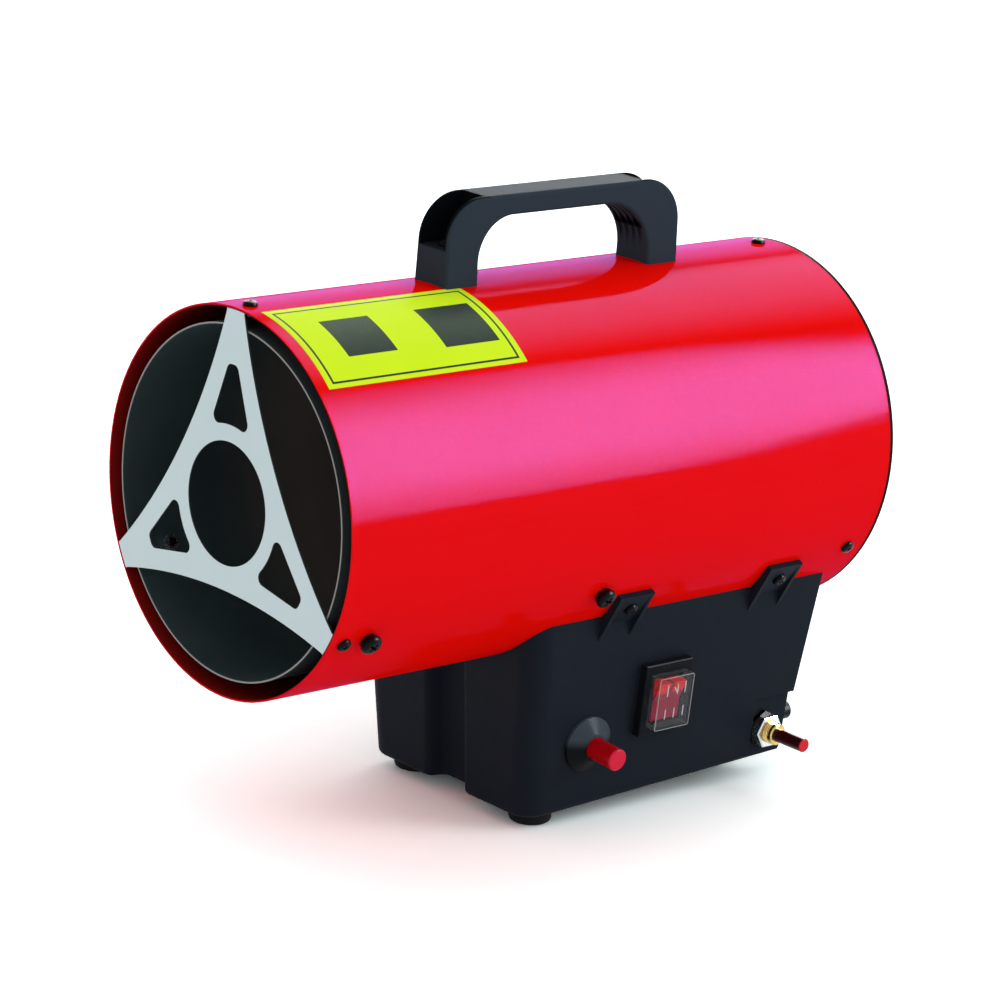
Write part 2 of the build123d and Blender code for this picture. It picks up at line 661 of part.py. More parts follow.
# Spider: three-armed strap that carries the cup and nozzle inside the chamber.
SPIDER_FACE_Y = CUP_FLOOR_Y
SPIDER_R = CHAMBER_R - CHAMBER_WALL - GUARD_FIT
with BuildPart() as burner_spider:
    with BuildSketch(across(SPIDER_FACE_Y)):
        Circle(SPIDER_HUB / 2)
        with PolarLocations(0, 3, start_angle=SPIDER_ANGLES[0]):
            Rectangle(CASING_R, SPIDER_ARM, align=(Align.MIN, Align.CENTER))
        Circle(SPIDER_R, mode=Mode.INTERSECT)
        Circle(NOZZLE_STEM / 2 + HOLE_FIT, mode=Mode.SUBTRACT)
    extrude(amount=-SPIDER_SHEET)
    with BuildSketch(across(SPIDER_FACE_Y)):
        with PolarLocations(0, 3, start_angle=SPIDER_ANGLES[0]):
            Rectangle(CASING_R, SPIDER_ARM, align=(Align.MIN, Align.CENTER))
        Circle(SPIDER_R, mode=Mode.INTERSECT)
        Circle(SPIDER_R - SPIDER_SHEET, mode=Mode.SUBTRACT)
    extrude(amount=SPIDER_FACE_Y - CHAMBER_REAR_Y)
    for angle in SPIDER_ANGLES:
        with Locations(radial(angle, SPIDER_Y, SPIDER_R)):
            Cylinder(SMALL_SHANK / 2 + FASTENER_FIT, 8, mode=Mode.SUBTRACT)
burner_spider.part.label = "burner_spider"
export_step(burner_spider.part, "parts/burner_spider.step")

# Spider screws, outside the chamber.
with BuildPart() as spider_screws:
    for angle in SPIDER_ANGLES:
        seat = radial(angle, SPIDER_Y, CHAMBER_R + FASTENER_FIT)
        screw(seat, SMALL_HEAD, SMALL_HEAD_HEIGHT, SMALL_SHANK, SMALL_LENGTH)
spider_screws.part.label = "spider_screws"
export_step(spider_screws.part, "parts/spider_screws.step")

# Nozzle: brass jet with a hexagon that clamps the cup to the spider.
with BuildPart() as burner_nozzle:
    stem = NOZZLE_STEM / 2
    turn(
        across(NOZZLE_BACK_Y),
        [
            (NOZZLE_BORE / 2, 0),
            (stem, 0),
            (stem, NOZZLE_LENGTH - NOZZLE_TAPER),
            (stem / 2, NOZZLE_LENGTH),
            (NOZZLE_BORE / 2, NOZZLE_LENGTH),
        ],
    )
    with BuildSketch(across(SPIDER_FACE_Y + SPIDER_SHEET + FASTENER_FIT)):
        RegularPolygon(NOZZLE_HEX / 2, 6, major_radius=False)
        Circle(stem - 0.5, mode=Mode.SUBTRACT)
    extrude(amount=-NOZZLE_HEX_LENGTH)
burner_nozzle.part.label = "burner_nozzle"
export_step(burner_nozzle.part, "parts/burner_nozzle.step")

# Igniter electrode: ceramic body and steel pin bent towards the nozzle.
PROBE_Z = AXIS_HEIGHT - PROBE_DROP
with BuildPart() as electrode_ceramic:
    ceramic = ELECTRODE_CERAMIC / 2
    turn(
        Plane(origin=(PROBE_SIDE, PROBE_BACK_Y, PROBE_Z), x_dir=(1, 0, 0), z_dir=(0, -1, 0)),
        [
            (ELECTRODE_PIN / 2, 0),
            (ceramic, 0),
            (ceramic, PROBE_REACH),
            (ceramic - 1, PROBE_REACH + 2),
            (ELECTRODE_PIN / 2, PROBE_REACH + 2),
        ],
    )
electrode_ceramic.part.label = "electrode_ceramic"
export_step(electrode_ceramic.part, "parts/electrode_ceramic.step")

with BuildPart() as electrode_pin:
    with BuildLine() as pin_path:
        FilletPolyline(
            (PROBE_SIDE, PROBE_BACK_Y, PROBE_Z),
            (PROBE_SIDE, PROBE_BACK_Y - PROBE_REACH - 8, PROBE_Z),
            (PROBE_SIDE / 2, PROBE_BACK_Y - PROBE_REACH - 10, PROBE_Z + PROBE_DROP / 3),
            radius=3,
        )
    with BuildSketch(Plane(origin=pin_path.line @ 0, z_dir=pin_path.line % 0)):
        Circle(ELECTRODE_PIN / 2)
    sweep()
electrode_pin.part.label = "electrode_pin"
export_step(electrode_pin.part, "parts/electrode_pin.step")

# Thermocouple probe with its shoulder behind the cup.
with BuildPart() as thermocouple:
    probe = THERMOCOUPLE_DIAMETER / 2
    seat = PROBE_BACK_Y - CUP_FLOOR_Y
    turn(
        Plane(origin=(-PROBE_SIDE, PROBE_BACK_Y, PROBE_Z), x_dir=(1, 0, 0), z_dir=(0, -1, 0)),
        [
            (0, 0),
            (probe, 0),
            (probe, seat - PROBE_SHOULDER),
            (probe + 2, seat - PROBE_SHOULDER),
            (probe + 2, seat - FASTENER_FIT),
            (probe, seat - FASTENER_FIT),
            (probe, PROBE_REACH + 6),
            (probe - 1, PROBE_REACH + 8),
            (0, PROBE_REACH + 8),
        ],
    )
thermocouple.part.label = "thermocouple"
export_step(thermocouple.part, "parts/thermocouple.step")

# ================================================================ control tray
def tray_section(z, inset):
    """Plan of the tray at height z, drawn inset from its outside, with the front groove in it."""
    x = TRAY_WIDTH / 2 + z * SIDE_SLOPE - inset
    front = TRAY_FRONT_Y - z * FRONT_SLOPE + inset
    rear = TRAY_REAR_Y + z * REAR_SLOPE - inset
    throat = GROOVE_WIDTH / 2 + inset
    mouth = throat + GROOVE_FLARE
    depth = front + GROOVE_DEPTH
    with BuildSketch(Plane.XY.offset(z)) as section:
        with BuildLine():
            Polyline(
                (-x, front),
                (-mouth, front),
                (-throat, depth),
                (throat, depth),
                (mouth, front),
                (x, front),
                (x, rear),
                (-x, rear),
                close=True,
            )
        make_face()
        corners = section.vertices().filter_by(lambda v: abs(v.X) > mouth + 1).group_by(Axis.Y)
        fillet(corners[0], TRAY_CORNER - inset)
        fillet(corners[-1], TRAY_REAR_CORNER - inset)
        groove = section.vertices().filter_by(lambda v: abs(v.X) < mouth + 1 and v.Y < depth + 1)
        fillet(groove, GROOVE_FILLET)
    return section.sketch


TRAY_TOP = AXIS_HEIGHT - CASING_R / 2
LEAN = Plane(
    origin=(0, TRAY_FRONT_Y, TRAY_CLEAR_FRONT),
    x_dir=(1, 0, 0),
    z_dir=(0, -TRAY_BOTTOM_SLOPE, 1),
)

# Hollow of the tray, taken out of the moulding below.
with BuildPart() as tray_hollow:
    loft([tray_section(0, TRAY_WALL), tray_section(TRAY_TOP, TRAY_WALL)])
    split(bisect_by=LEAN.offset(TRAY_WALL), keep=Keep.TOP)
    with Locations((PAD_X - TRAY_WALL, PAD_Y - TRAY_WALL, 0)):
        Box(
            TRAY_WIDTH,
            TRAY_LENGTH,
            PAD_HEIGHT + TRAY_WALL,
            align=(Align.MIN, Align.MIN, Align.MIN),
            mode=Mode.SUBTRACT,
        )

FOOT_YS = (TRAY_FRONT_Y + FOOT_FRONT_INSET, TRAY_REAR_Y - FOOT_REAR_INSET)
FOOT_SIDES = (FOOT_FRONT_SIDE, FOOT_REAR_SIDE)
FOOT_SPOTS = [(side * x, y) for x, y in zip(FOOT_SIDES, FOOT_YS) for side in (1, -1)]
FOOT_NAMES = ("front_left", "front_right", "rear_left", "rear_right")
TAB_INNER_R = CASING_R + TRAY_FIT
TAB_OUTER_R = TAB_INNER_R + TAB_SHEET
SWITCH_Y = TRAY_FRONT_Y + SWITCH_FROM_FRONT
SWITCH_SEAT = on_side_wall(SWITCH_Y, SWITCH_HEIGHT)
IGNITER_Y = TRAY_FRONT_Y + IGNITER_FROM_FRONT
IGNITER_SEAT = on_side_wall(IGNITER_Y, IGNITER_HEIGHT)
VALVE_SEAT = Plane(origin=(PAD_X, VALVE_Y, VALVE_HEIGHT), x_dir=(0, 1, 0), z_dir=(1, 0, 0))
INLET_X = PAD_X - INLET_FROM_WALL
INLET_SEAT = Plane(origin=(INLET_X, SPOT_Y, VALVE_HEIGHT), x_dir=(1, 0, 0), z_dir=(0, 1, 0))
GLAND_SEAT = Plane(origin=(GLAND_SIDE, SPOT_Y, GLAND_HEIGHT), x_dir=(1, 0, 0), z_dir=(0, 1, 0))


def tab_profile(y, side):
    """Curved screw tab that lies on the casing, seen along the casing."""
    low, high = radians(TAB_LOW_ANGLE), radians(TAB_TOP_ANGLE)
    reach = 2 * CASING_R
    with BuildSketch(across(y)) as profile:
        Circle(TAB_OUTER_R)
        Circle(TAB_INNER_R, mode=Mode.SUBTRACT)
        with BuildLine():
            Polyline(
                (0, 0),
                (side * reach * cos(low), reach * sin(low)),
                (side * reach * cos(high), reach * sin(high)),
                close=True,
            )
        make_face(mode=Mode.INTERSECT)
    return profile.sketch


def gusset_profile(y, side):
    """Triangular gusset from the top of a tab down to a point on the tray wall."""
    drop = TAB_GUSSET_DROP
    wall = TRAY_WIDTH / 2 + (AXIS_HEIGHT - drop) * SIDE_SLOPE
    high, low = radians(TAB_TOP_ANGLE), radians(TAB_LOW_ANGLE)
    inner = TAB_INNER_R - 1
    with BuildSketch(across(y)) as profile:
        with BuildLine():
            Polyline(
                (side * TAB_OUTER_R * cos(high), TAB_OUTER_R * sin(high)),
                (side * wall, -drop),
                (side * (wall - TRAY_WALL), -drop),
                (side * inner * cos(low), inner * sin(low)),
                (side * inner * cos(high), inner * sin(high)),
                close=True,
            )
        make_face()
    return profile.sketch


# Tray: drafted moulding open towards the casing, with screw tabs and gussets on both sides.
with BuildPart() as control_tray:
    loft([tray_section(0, 0), tray_section(TRAY_TOP, 0)])
    split(bisect_by=LEAN, keep=Keep.TOP)
    fillet(control_tray.faces().sort_by(Axis.Z)[0].edges(), TRAY_EDGE)
    add(tray_hollow.part, mode=Mode.SUBTRACT)
    with Locations((PAD_X, PAD_Y, 0)):
        Box(
            TRAY_WIDTH,
            TRAY_LENGTH,
            PAD_HEIGHT,
            align=(Align.MIN, Align.MIN, Align.MIN),
            mode=Mode.SUBTRACT,
        )
    for tab_y in TAB_YS:
        for side in (-1, 1):
            extrude(tab_profile(tab_y - TAB_LENGTH / 2, side), amount=-TAB_LENGTH)
            extrude(gusset_profile(tab_y - TAB_LENGTH / 2, side), amount=-TAB_GUSSET)
            extrude(gusset_profile(tab_y + TAB_LENGTH / 2, side), amount=TAB_GUSSET)
    for seat in (INLET_SEAT, GLAND_SEAT):
        with Locations(seat):
            Cylinder(SPOT_DIAMETER / 2, SPOT_LENGTH, align=UPPER)
    for x, y in FOOT_SPOTS:
        with Locations((x, y, tray_bottom(y) + 1)):
            Cylinder(FOOT_BORE / 2, TRAY_WALL + FOOT_BOSS_HEIGHT, align=LOWER)
    with Locations(across(0)):
        Cylinder(TAB_INNER_R, 2 * CASING_LENGTH, mode=Mode.SUBTRACT)
    with Locations(SWITCH_SEAT):
        Box(SWITCH_BODY_WIDTH + 2 * HOLE_FIT, SWITCH_BODY_HEIGHT + 2 * HOLE_FIT, 12, mode=Mode.SUBTRACT)
    with Locations(IGNITER_SEAT):
        Cylinder(IGNITER_NECK / 2 + HOLE_FIT, 12, mode=Mode.SUBTRACT)
    with Locations(VALVE_SEAT):
        Cylinder(BUSH_DIAMETER / 2 + HOLE_FIT, 12, mode=Mode.SUBTRACT)
    with Locations(INLET_SEAT):
        Cylinder(INLET_THREAD / 2 + HOLE_FIT, 30, mode=Mode.SUBTRACT)
    with Locations(GLAND_SEAT):
        Cylinder(GLAND_THREAD / 2 + HOLE_FIT, 30, mode=Mode.SUBTRACT)
    for x, y in FOOT_SPOTS:
        with Locations((x, y, 0)):
            Cylinder(SMALL_SHANK / 2 + FASTENER_FIT, 3 * FOOT_BLANK, mode=Mode.SUBTRACT)
    for angle in (TAB_SCREW_ANGLE, 180 - TAB_SCREW_ANGLE):
        with Locations(*[radial(angle, y, TAB_OUTER_R) for y in TAB_YS]):
            Cylinder(SMALL_SHANK / 2 + HOLE_FIT, 10, mode=Mode.SUBTRACT)
control_tray.part.label = "control_tray"
export_step(control_tray.part, "parts/control_tray.step")

# Tab screws.
with BuildPart() as tab_screws:
    for angle in (TAB_SCREW_ANGLE, 180 - TAB_SCREW_ANGLE):
        for y in TAB_YS:
            screw(
                radial(angle, y, TAB_OUTER_R + FASTENER_FIT),
                SMALL_HEAD,
                SMALL_HEAD_HEIGHT,
                SMALL_SHANK,
                TAB_SHEET + TRAY_FIT + CASING_WALL + 4,
            )
tab_screws.part.label = "tab_screws"
export_step(tab_screws.part, "parts/tab_screws.step")

# Rubber feet, taller at the back because the underside of the tray rises. Left is +X.
for foot_name, (x, y) in zip(FOOT_NAMES, FOOT_SPOTS):
    with BuildPart() as foot:
        outer, counter, hole = FOOT_DIAMETER / 2, FOOT_BORE / 2, SMALL_SHANK / 2 + HOLE_FIT
        turn(
            Plane(origin=(x, y, 0), x_dir=(1, 0, 0), z_dir=(0, 0, 1)),
            [
                (counter, 0),
                (outer - FOOT_ROUND - 0.6, 0),
                (outer - 0.9, 0.9),
                (outer - 0.4, FOOT_ROUND + 0.6),
                (outer, FOOT_BLANK),
                (hole, FOOT_BLANK),
                (hole, FOOT_BORE_DEPTH),
                (counter, FOOT_BORE_DEPTH),
            ],
        )
        split(bisect_by=LEAN.offset(-FASTENER_FIT), keep=Keep.BOTTOM)
    foot.part.label = f"foot_{foot_name}"
    export_step(foot.part, f"parts/foot_{foot_name}.step")

# Foot screws, up through the feet into the bosses of the tray.
with BuildPart() as foot_screws:
    for x, y in FOOT_SPOTS:
        seat = Plane(origin=(x, y, FOOT_BORE_DEPTH - FASTENER_FIT), x_dir=(1, 0, 0), z_dir=(0, 0, -1))
        screw(seat, SMALL_HEAD, SMALL_HEAD_HEIGHT, SMALL_SHANK, tray_bottom(y) + TRAY_WALL)
foot_screws.part.label = "foot_screws"
export_step(foot_screws.part, "parts/foot_screws.step")

# ================================================================ rocker switch
# Switch body: bezel on the tray wall and a box behind it, with the well and pivot holes of the rocker.
with BuildPart() as switch_body:
    with BuildSketch(SWITCH_SEAT.offset(FASTENER_FIT)):
        Rectangle(BEZEL_WIDTH, BEZEL_HEIGHT)
    extrude(amount=BEZEL_PROUD - FASTENER_FIT)
    chamfer(switch_body.faces().sort_by(Axis.X)[-1].edges(), 0.5)
    with BuildSketch(SWITCH_SEAT.offset(FASTENER_FIT)):
        Rectangle(SWITCH_BODY_WIDTH, SWITCH_BODY_HEIGHT)
    extrude(amount=-SWITCH_BODY_DEPTH)
    with BuildSketch(SWITCH_SEAT.offset(BEZEL_PROUD)):
        Rectangle(WELL_WIDTH, WELL_HEIGHT)
    extrude(amount=-WELL_DEPTH, mode=Mode.SUBTRACT)
    ROCKER_SEAT = SWITCH_SEAT.offset(BEZEL_PROUD - ROCKER_PIVOT)
    ROCKER_AXLE = Plane(origin=ROCKER_SEAT.origin, x_dir=ROCKER_SEAT.y_dir, z_dir=(0, 1, 0))
    with Locations(ROCKER_AXLE):
        Cylinder(ROCKER_PIN / 2 + SHAFT_FIT, WELL_WIDTH + 2 * ROCKER_PIN_REACH + 0.4, mode=Mode.SUBTRACT)
switch_body.part.label = "switch_body"
export_step(switch_body.part, "parts/switch_body.step")

# Rocker, drawn at rest with its upper end out, on two stub pins.
with BuildPart() as switch_rocker:
    valley = ROCKER_PIVOT + ROCKER_CREST - ROCKER_REACH * tan(radians(ROCKER_TILT))
    crest = ROCKER_PIVOT + ROCKER_CREST
    with BuildSketch(mode=Mode.PRIVATE) as rocker_side:
        with BuildLine():
            Polyline(
                (-ROCKER_REACH, crest),
                (0, valley),
                (ROCKER_REACH, crest),
                (ROCKER_REACH - 1, -1),
                (ROCKER_REACH / 2, -5),
                (-ROCKER_REACH / 2, -5),
                (1 - ROCKER_REACH, -1),
                close=True,
            )
        make_face()
        fillet(rocker_side.vertices().group_by(Axis.Y)[-1], 0.7)
    rocker_plane = Plane(
        origin=ROCKER_SEAT.origin,
        x_dir=ROCKER_SEAT.y_dir,
        z_dir=ROCKER_SEAT.y_dir.cross(ROCKER_SEAT.z_dir),
    )
    with BuildSketch(rocker_plane):
        add(rocker_side.sketch, rotation=ROCKER_TILT)
    extrude(amount=ROCKER_WIDTH / 2, both=True)
    with Locations(ROCKER_AXLE):
        Cylinder(ROCKER_PIN / 2, WELL_WIDTH + 2 * ROCKER_PIN_REACH)
switch_rocker.part.label = "switch_rocker"
export_step(switch_rocker.part, "parts/switch_rocker.step")

# Clear splash cover over the rocker.
with BuildPart() as switch_cover:
    with BuildSketch(SWITCH_SEAT.offset(BEZEL_PROUD + FASTENER_FIT)):
        RectangleRounded(COVER_WIDTH, COVER_HEIGHT, COVER_WALL)
    extrude(amount=COVER_DEPTH)
    with BuildSketch(SWITCH_SEAT.offset(BEZEL_PROUD)):
        Rectangle(COVER_WIDTH - 2 * COVER_WALL, COVER_HEIGHT - 2 * COVER_WALL)
    extrude(amount=COVER_DEPTH - COVER_WALL, mode=Mode.SUBTRACT)
switch_cover.part.label = "switch_cover"
export_step(switch_cover.part, "parts/switch_cover.step")

# Push-on terminals behind the switch.
with BuildPart() as switch_terminals:
    with Locations(SWITCH_SEAT.offset(-SWITCH_BODY_DEPTH)):
        with GridLocations(SWITCH_BODY_WIDTH / 2, SWITCH_BODY_HEIGHT / 2, 2, 2):
            Box(TERMINAL_SHEET, TERMINAL_WIDTH, TERMINAL_LENGTH, align=UPPER)
switch_terminals.part.label = "switch_terminals"
export_step(switch_terminals.part, "parts/switch_terminals.step")

# ================================================================ piezo igniter
# Collar: shallow cone screwed on to the neck of the igniter.
button_bore = IGNITER_BUTTON / 2 + SLIDE_FIT
neck_hole = IGNITER_NECK / 2 + FASTENER_FIT
with BuildPart() as igniter_collar:
    outer = COLLAR_DIAMETER / 2
    turn(
        IGNITER_SEAT,
        [
            (neck_hole, FASTENER_FIT),
            (outer, FASTENER_FIT),
            (outer, COLLAR_RIM),
            (COLLAR_TOP / 2, COLLAR_HEIGHT),
            (button_bore, COLLAR_HEIGHT),
            (button_bore, IGNITER_NECK_HEIGHT + FASTENER_FIT),
            (neck_hole, IGNITER_NECK_HEIGHT + FASTENER_FIT),
        ],
    )
igniter_collar.part.label = "igniter_collar"
export_step(igniter_collar.part, "parts/igniter_collar.step")

# Igniter body: barrel behind the wall and neck through it, bored for button and spring.
with BuildPart() as igniter_body:
    neck, barrel = IGNITER_NECK / 2, IGNITER_BARREL / 2
    shoulder = -TRAY_WALL - FASTENER_FIT
    floor = -IGNITER_DEPTH / 2
    turn(
        IGNITER_SEAT,
        [
            (button_bore, IGNITER_NECK_HEIGHT),
            (neck, IGNITER_NECK_HEIGHT),
            (neck, shoulder),
            (barrel, shoulder),
            (barrel, -IGNITER_DEPTH),
            (0, -IGNITER_DEPTH),
            (0, floor),
            (button_bore, floor),
        ],
    )
igniter_body.part.label = "igniter_body"
export_step(igniter_body.part, "parts/igniter_body.step")

# Igniter button.
IGNITER_BUTTON_FOOT = -IGNITER_DEPTH / 2 + IGNITER_TRAVEL + IGNITER_SPRING_SOLID
with BuildPart() as igniter_button:
    button = IGNITER_BUTTON / 2
    turn(
        IGNITER_SEAT,
        [
            (0, IGNITER_BUTTON_FOOT),
            (button, IGNITER_BUTTON_FOOT),
            (button, IGNITER_PROUD - 0.5),
            (button - 0.5, IGNITER_PROUD),
            (0, IGNITER_PROUD),
        ],
    )
igniter_button.part.label = "igniter_button"
export_step(igniter_button.part, "parts/igniter_button.step")

# ================================================================ gas valve
bush_bore = VALVE_BUTTON / 2 + SLIDE_FIT
valve_floor = -TRAY_WALL - VALVE_BODY_LENGTH + 5
with BuildPart() as valve_body:
    with Locations(VALVE_SEAT.offset(-TRAY_WALL - FASTENER_FIT)):
        Box(VALVE_BODY_WIDTH, VALVE_BODY_HEIGHT, VALVE_BODY_LENGTH, align=UPPER)
    chamfer(valve_body.edges().filter_by(Axis.X), 1.0)
    with Locations(VALVE_SEAT.offset(valve_floor)):
        Cylinder(bush_bore, VALVE_BODY_LENGTH, align=LOWER, mode=Mode.SUBTRACT)
valve_body.part.label = "valve_body"
export_step(valve_body.part, "parts/valve_body.step")

with BuildPart() as valve_bush:
    turn(
        VALVE_SEAT,
        [
            (bush_bore, -TRAY_WALL),
            (BUSH_DIAMETER / 2, -TRAY_WALL),
            (BUSH_DIAMETER / 2, BUSH_PROUD - 0.8),
            (BUSH_DIAMETER / 2 - 0.8, BUSH_PROUD),
            (bush_bore, BUSH_PROUD),
        ],
    )
valve_bush.part.label = "valve_bush"
export_step(valve_bush.part, "parts/valve_bush.step")

# Black backing nut and bright front nut that clamp the bush to the wall.
with BuildPart() as valve_backing_nut:
    with BuildSketch(VALVE_SEAT.offset(FASTENER_FIT)):
        RegularPolygon(BACKING_FLATS / 2, 6, major_radius=False, rotation=30)
        Circle(BUSH_DIAMETER / 2 + FASTENER_FIT, mode=Mode.SUBTRACT)
    extrude(amount=BACKING_HEIGHT)
valve_backing_nut.part.label = "valve_backing_nut"
export_step(valve_backing_nut.part, "parts/valve_backing_nut.step")

with BuildPart() as valve_nut:
    with BuildSketch(VALVE_SEAT.offset(BACKING_HEIGHT + 2 * FASTENER_FIT)):
        RegularPolygon(NUT_FLATS / 2, 6, major_radius=False)
        Circle(BUSH_DIAMETER / 2 + FASTENER_FIT, mode=Mode.SUBTRACT)
    extrude(amount=NUT_HEIGHT)
    chamfer(valve_nut.faces().sort_by(Axis.X)[-1].outer_wire().edges(), 0.6)
valve_nut.part.label = "valve_nut"
export_step(valve_nut.part, "parts/valve_nut.step")

with BuildPart() as valve_button:
    foot = valve_floor + VALVE_TRAVEL + VALVE_SPRING_SOLID
    pin = VALVE_BUTTON / 2
    turn(
        VALVE_SEAT,
        [
            (0, foot),
            (pin, foot),
            (pin, VALVE_PROUD - 0.4),
            (pin - 0.4, VALVE_PROUD),
            (0, VALVE_PROUD),
        ],
    )
valve_button.part.label = "valve_button"
export_step(valve_button.part, "parts/valve_button.step")

# Gas inlet: nipple with a hexagon against the spot face, threaded into the valve body.
VALVE_BACK = VALVE_Y + VALVE_BODY_WIDTH / 2 + FASTENER_FIT - SPOT_Y
with BuildPart() as gas_inlet:
    thread = INLET_THREAD / 2
    turn(
        INLET_SEAT,
        [
            (INLET_BORE / 2, VALVE_BACK),
            (thread, VALVE_BACK),
            (thread, INLET_PROUD - 1),
            (thread - 1, INLET_PROUD),
            (INLET_BORE / 2, INLET_PROUD),
        ],
    )
    with BuildSketch(INLET_SEAT.offset(FASTENER_FIT)):
        RegularPolygon(INLET_HEX / 2, 6, major_radius=False)
        Circle(INLET_BORE / 2, mode=Mode.SUBTRACT)
    extrude(amount=INLET_HEX_LENGTH)
gas_inlet.part.label = "gas_inlet"
export_step(gas_inlet.part, "parts/gas_inlet.step")

# Cable gland and its locknut.
with BuildPart() as cable_gland:
    hole, body, thread = GLAND_BORE / 2, GLAND_DIAMETER / 2, GLAND_THREAD / 2
    turn(
        GLAND_SEAT,
        [
            (hole, -TRAY_WALL - 9),
            (thread, -TRAY_WALL - 9),
            (thread, FASTENER_FIT),
            (body, FASTENER_FIT),
            (body, GLAND_PROUD - 6),
            (body - 3, GLAND_PROUD),
            (hole, GLAND_PROUD),
        ],
    )
cable_gland.part.label = "cable_gland"
export_step(cable_gland.part, "parts/cable_gland.step")

with BuildPart() as gland_nut:
    with BuildSketch(GLAND_SEAT.offset(-SPOT_PROUD - 1)):
        RegularPolygon(GLAND_DIAMETER / 2, 6, major_radius=False)
        Circle(GLAND_THREAD / 2 + FASTENER_FIT, mode=Mode.SUBTRACT)
    extrude(amount=-4)
gland_nut.part.label = "gland_nut"
export_step(gland_nut.part, "parts/gland_nut.step")

# ================================================================ carrying handle
HANDLE_BASE = AXIS_HEIGHT + CASING_R
HANDLE_TOP = HANDLE_BASE + HANDLE_HEIGHT
HANDLE_UNDER = HANDLE_TOP - HANDLE_GRIP
HANDLE_FLOOR = HANDLE_BASE + HANDLE_BLOCK


def finger_gap(grow, front_radius, rear_radius):
    """Opening under the grip, grown outwards, with a corner radius at each end."""
    front, rear = handle_front_y + HANDLE_LEG - grow, handle_rear_y - HANDLE_LEG + grow
    top = HANDLE_UNDER + grow
    with BuildSketch() as gap:
        with BuildLine():
            Polyline((front, 0), (rear, 0), (rear, top), (front, top), close=True)
        make_face()
        fillet(gap.vertices().group_by(Axis.Y)[-1].sort_by(Axis.X)[0], front_radius)
        fillet(gap.vertices().group_by(Axis.Y)[-1].sort_by(Axis.X)[-1], rear_radius)
    return gap.sketch


def cheek_offset(z, inset=0):
    """Half the handle's width at height z, less an inset: the cheeks lean in towards the top."""
    return HANDLE_WIDTH / 2 - (z - HANDLE_BASE) * tan(radians(HANDLE_DRAFT)) - inset


def between_cheeks(inset):
    """Section of the handle across its length, drawn inset from the cheeks."""
    low, high = HANDLE_BASE - HANDLE_HEIGHT, HANDLE_TOP + HANDLE_HEIGHT
    low_half, high_half = cheek_offset(low, inset), cheek_offset(high, inset)
    with BuildSketch(Plane.XZ) as section:
        with BuildLine():
            Polyline((-low_half, low), (low_half, low), (high_half, high), (-high_half, high), close=True)
        make_face()
    return section.sketch


# Channels in the two ends of the handle, between its cheeks.
with BuildPart() as handle_channels:
    for inner_y, outer_y in (
        (handle_front_y + HANDLE_PLATE_INSET, handle_front_y - HANDLE_CHEEK),
        (handle_rear_y - HANDLE_PLATE_INSET, handle_rear_y + HANDLE_CHEEK),
    ):
        with BuildSketch(Plane.YZ):
            with BuildLine():
                Polyline(
                    (inner_y, HANDLE_FLOOR),
                    (outer_y, HANDLE_FLOOR),
                    (outer_y, HANDLE_TOP + HANDLE_CHEEK),
                    (inner_y, HANDLE_TOP + HANDLE_CHEEK),
                    close=True,
                )
            make_face()
            slot_radius = HANDLE_SLOT_RADIUS - HANDLE_CHEEK
            add(finger_gap(HANDLE_CHEEK, slot_radius, slot_radius), mode=Mode.SUBTRACT)
        extrude(amount=HANDLE_WIDTH / 2, both=True)
    extrude(between_cheeks(HANDLE_CHEEK), amount=CASING_LENGTH, both=True, mode=Mode.INTERSECT)


with BuildPart() as handle:
    with BuildSketch(Plane.YZ) as handle_side:
        with BuildLine():
            low = HANDLE_BASE - 5
            Polyline(
                (handle_front_y, low),
                (handle_rear_y, low),
                (handle_rear_y, HANDLE_TOP),
                (handle_front_y, HANDLE_TOP),
                close=True,
            )
        make_face()
        fillet(handle_side.vertices().group_by(Axis.Y)[-1], HANDLE_OUTER_RADIUS)
        add(finger_gap(0, HANDLE_FRONT_RADIUS, HANDLE_REAR_RADIUS), mode=Mode.SUBTRACT)
    extrude(amount=HANDLE_WIDTH / 2, both=True)
    extrude(between_cheeks(0), amount=CASING_LENGTH, both=True, mode=Mode.INTERSECT)
    cheeks = handle.faces().sort_by(Axis.X)
    fillet(cheeks[0].edges() + cheeks[-1].edges(), HANDLE_EDGE)
    add(handle_channels.part, mode=Mode.SUBTRACT)
    slots = HANDLE_RIBS + 1
    hollow = 2 * cheek_offset(HANDLE_UNDER, HANDLE_CHEEK)
    slot = (hollow - HANDLE_RIBS * HANDLE_RIB) / slots
    for number in range(slots):
        start = -hollow / 2 + number * (slot + HANDLE_RIB)
        with BuildSketch(Plane.YZ.offset(start)):
            add(finger_gap(0, HANDLE_SLOT_RADIUS, HANDLE_SLOT_RADIUS))
        extrude(amount=slot, mode=Mode.SUBTRACT)
    with Locations(*[(0, y, HANDLE_FLOOR) for y in HANDLE_SCREW_YS]):
        Cylinder(LARGE_SHANK / 2 + HOLE_FIT, 3 * HANDLE_BLOCK, mode=Mode.SUBTRACT)
    with Locations(across(0)):
        Cylinder(CASING_R + FASTENER_FIT, 2 * CASING_LENGTH, mode=Mode.SUBTRACT)
handle.part.label = "handle"
export_step(handle.part, "parts/handle.step")

# Handle screws, on the floors of the handle's end channels.
with BuildPart() as handle_screws:
    for y in HANDLE_SCREW_YS:
        seat = Plane(origin=(0, y, HANDLE_FLOOR + FASTENER_FIT), x_dir=(1, 0, 0), z_dir=(0, 0, 1))
        screw(seat, HANDLE_SCREW_HEAD, LARGE_HEAD_HEIGHT, LARGE_SHANK, HANDLE_BLOCK + CASING_WALL + 4)
handle_screws.part.label = "handle_screws"
export_step(handle_screws.part, "parts/handle_screws.step")

# ================================================================ pipe and leads


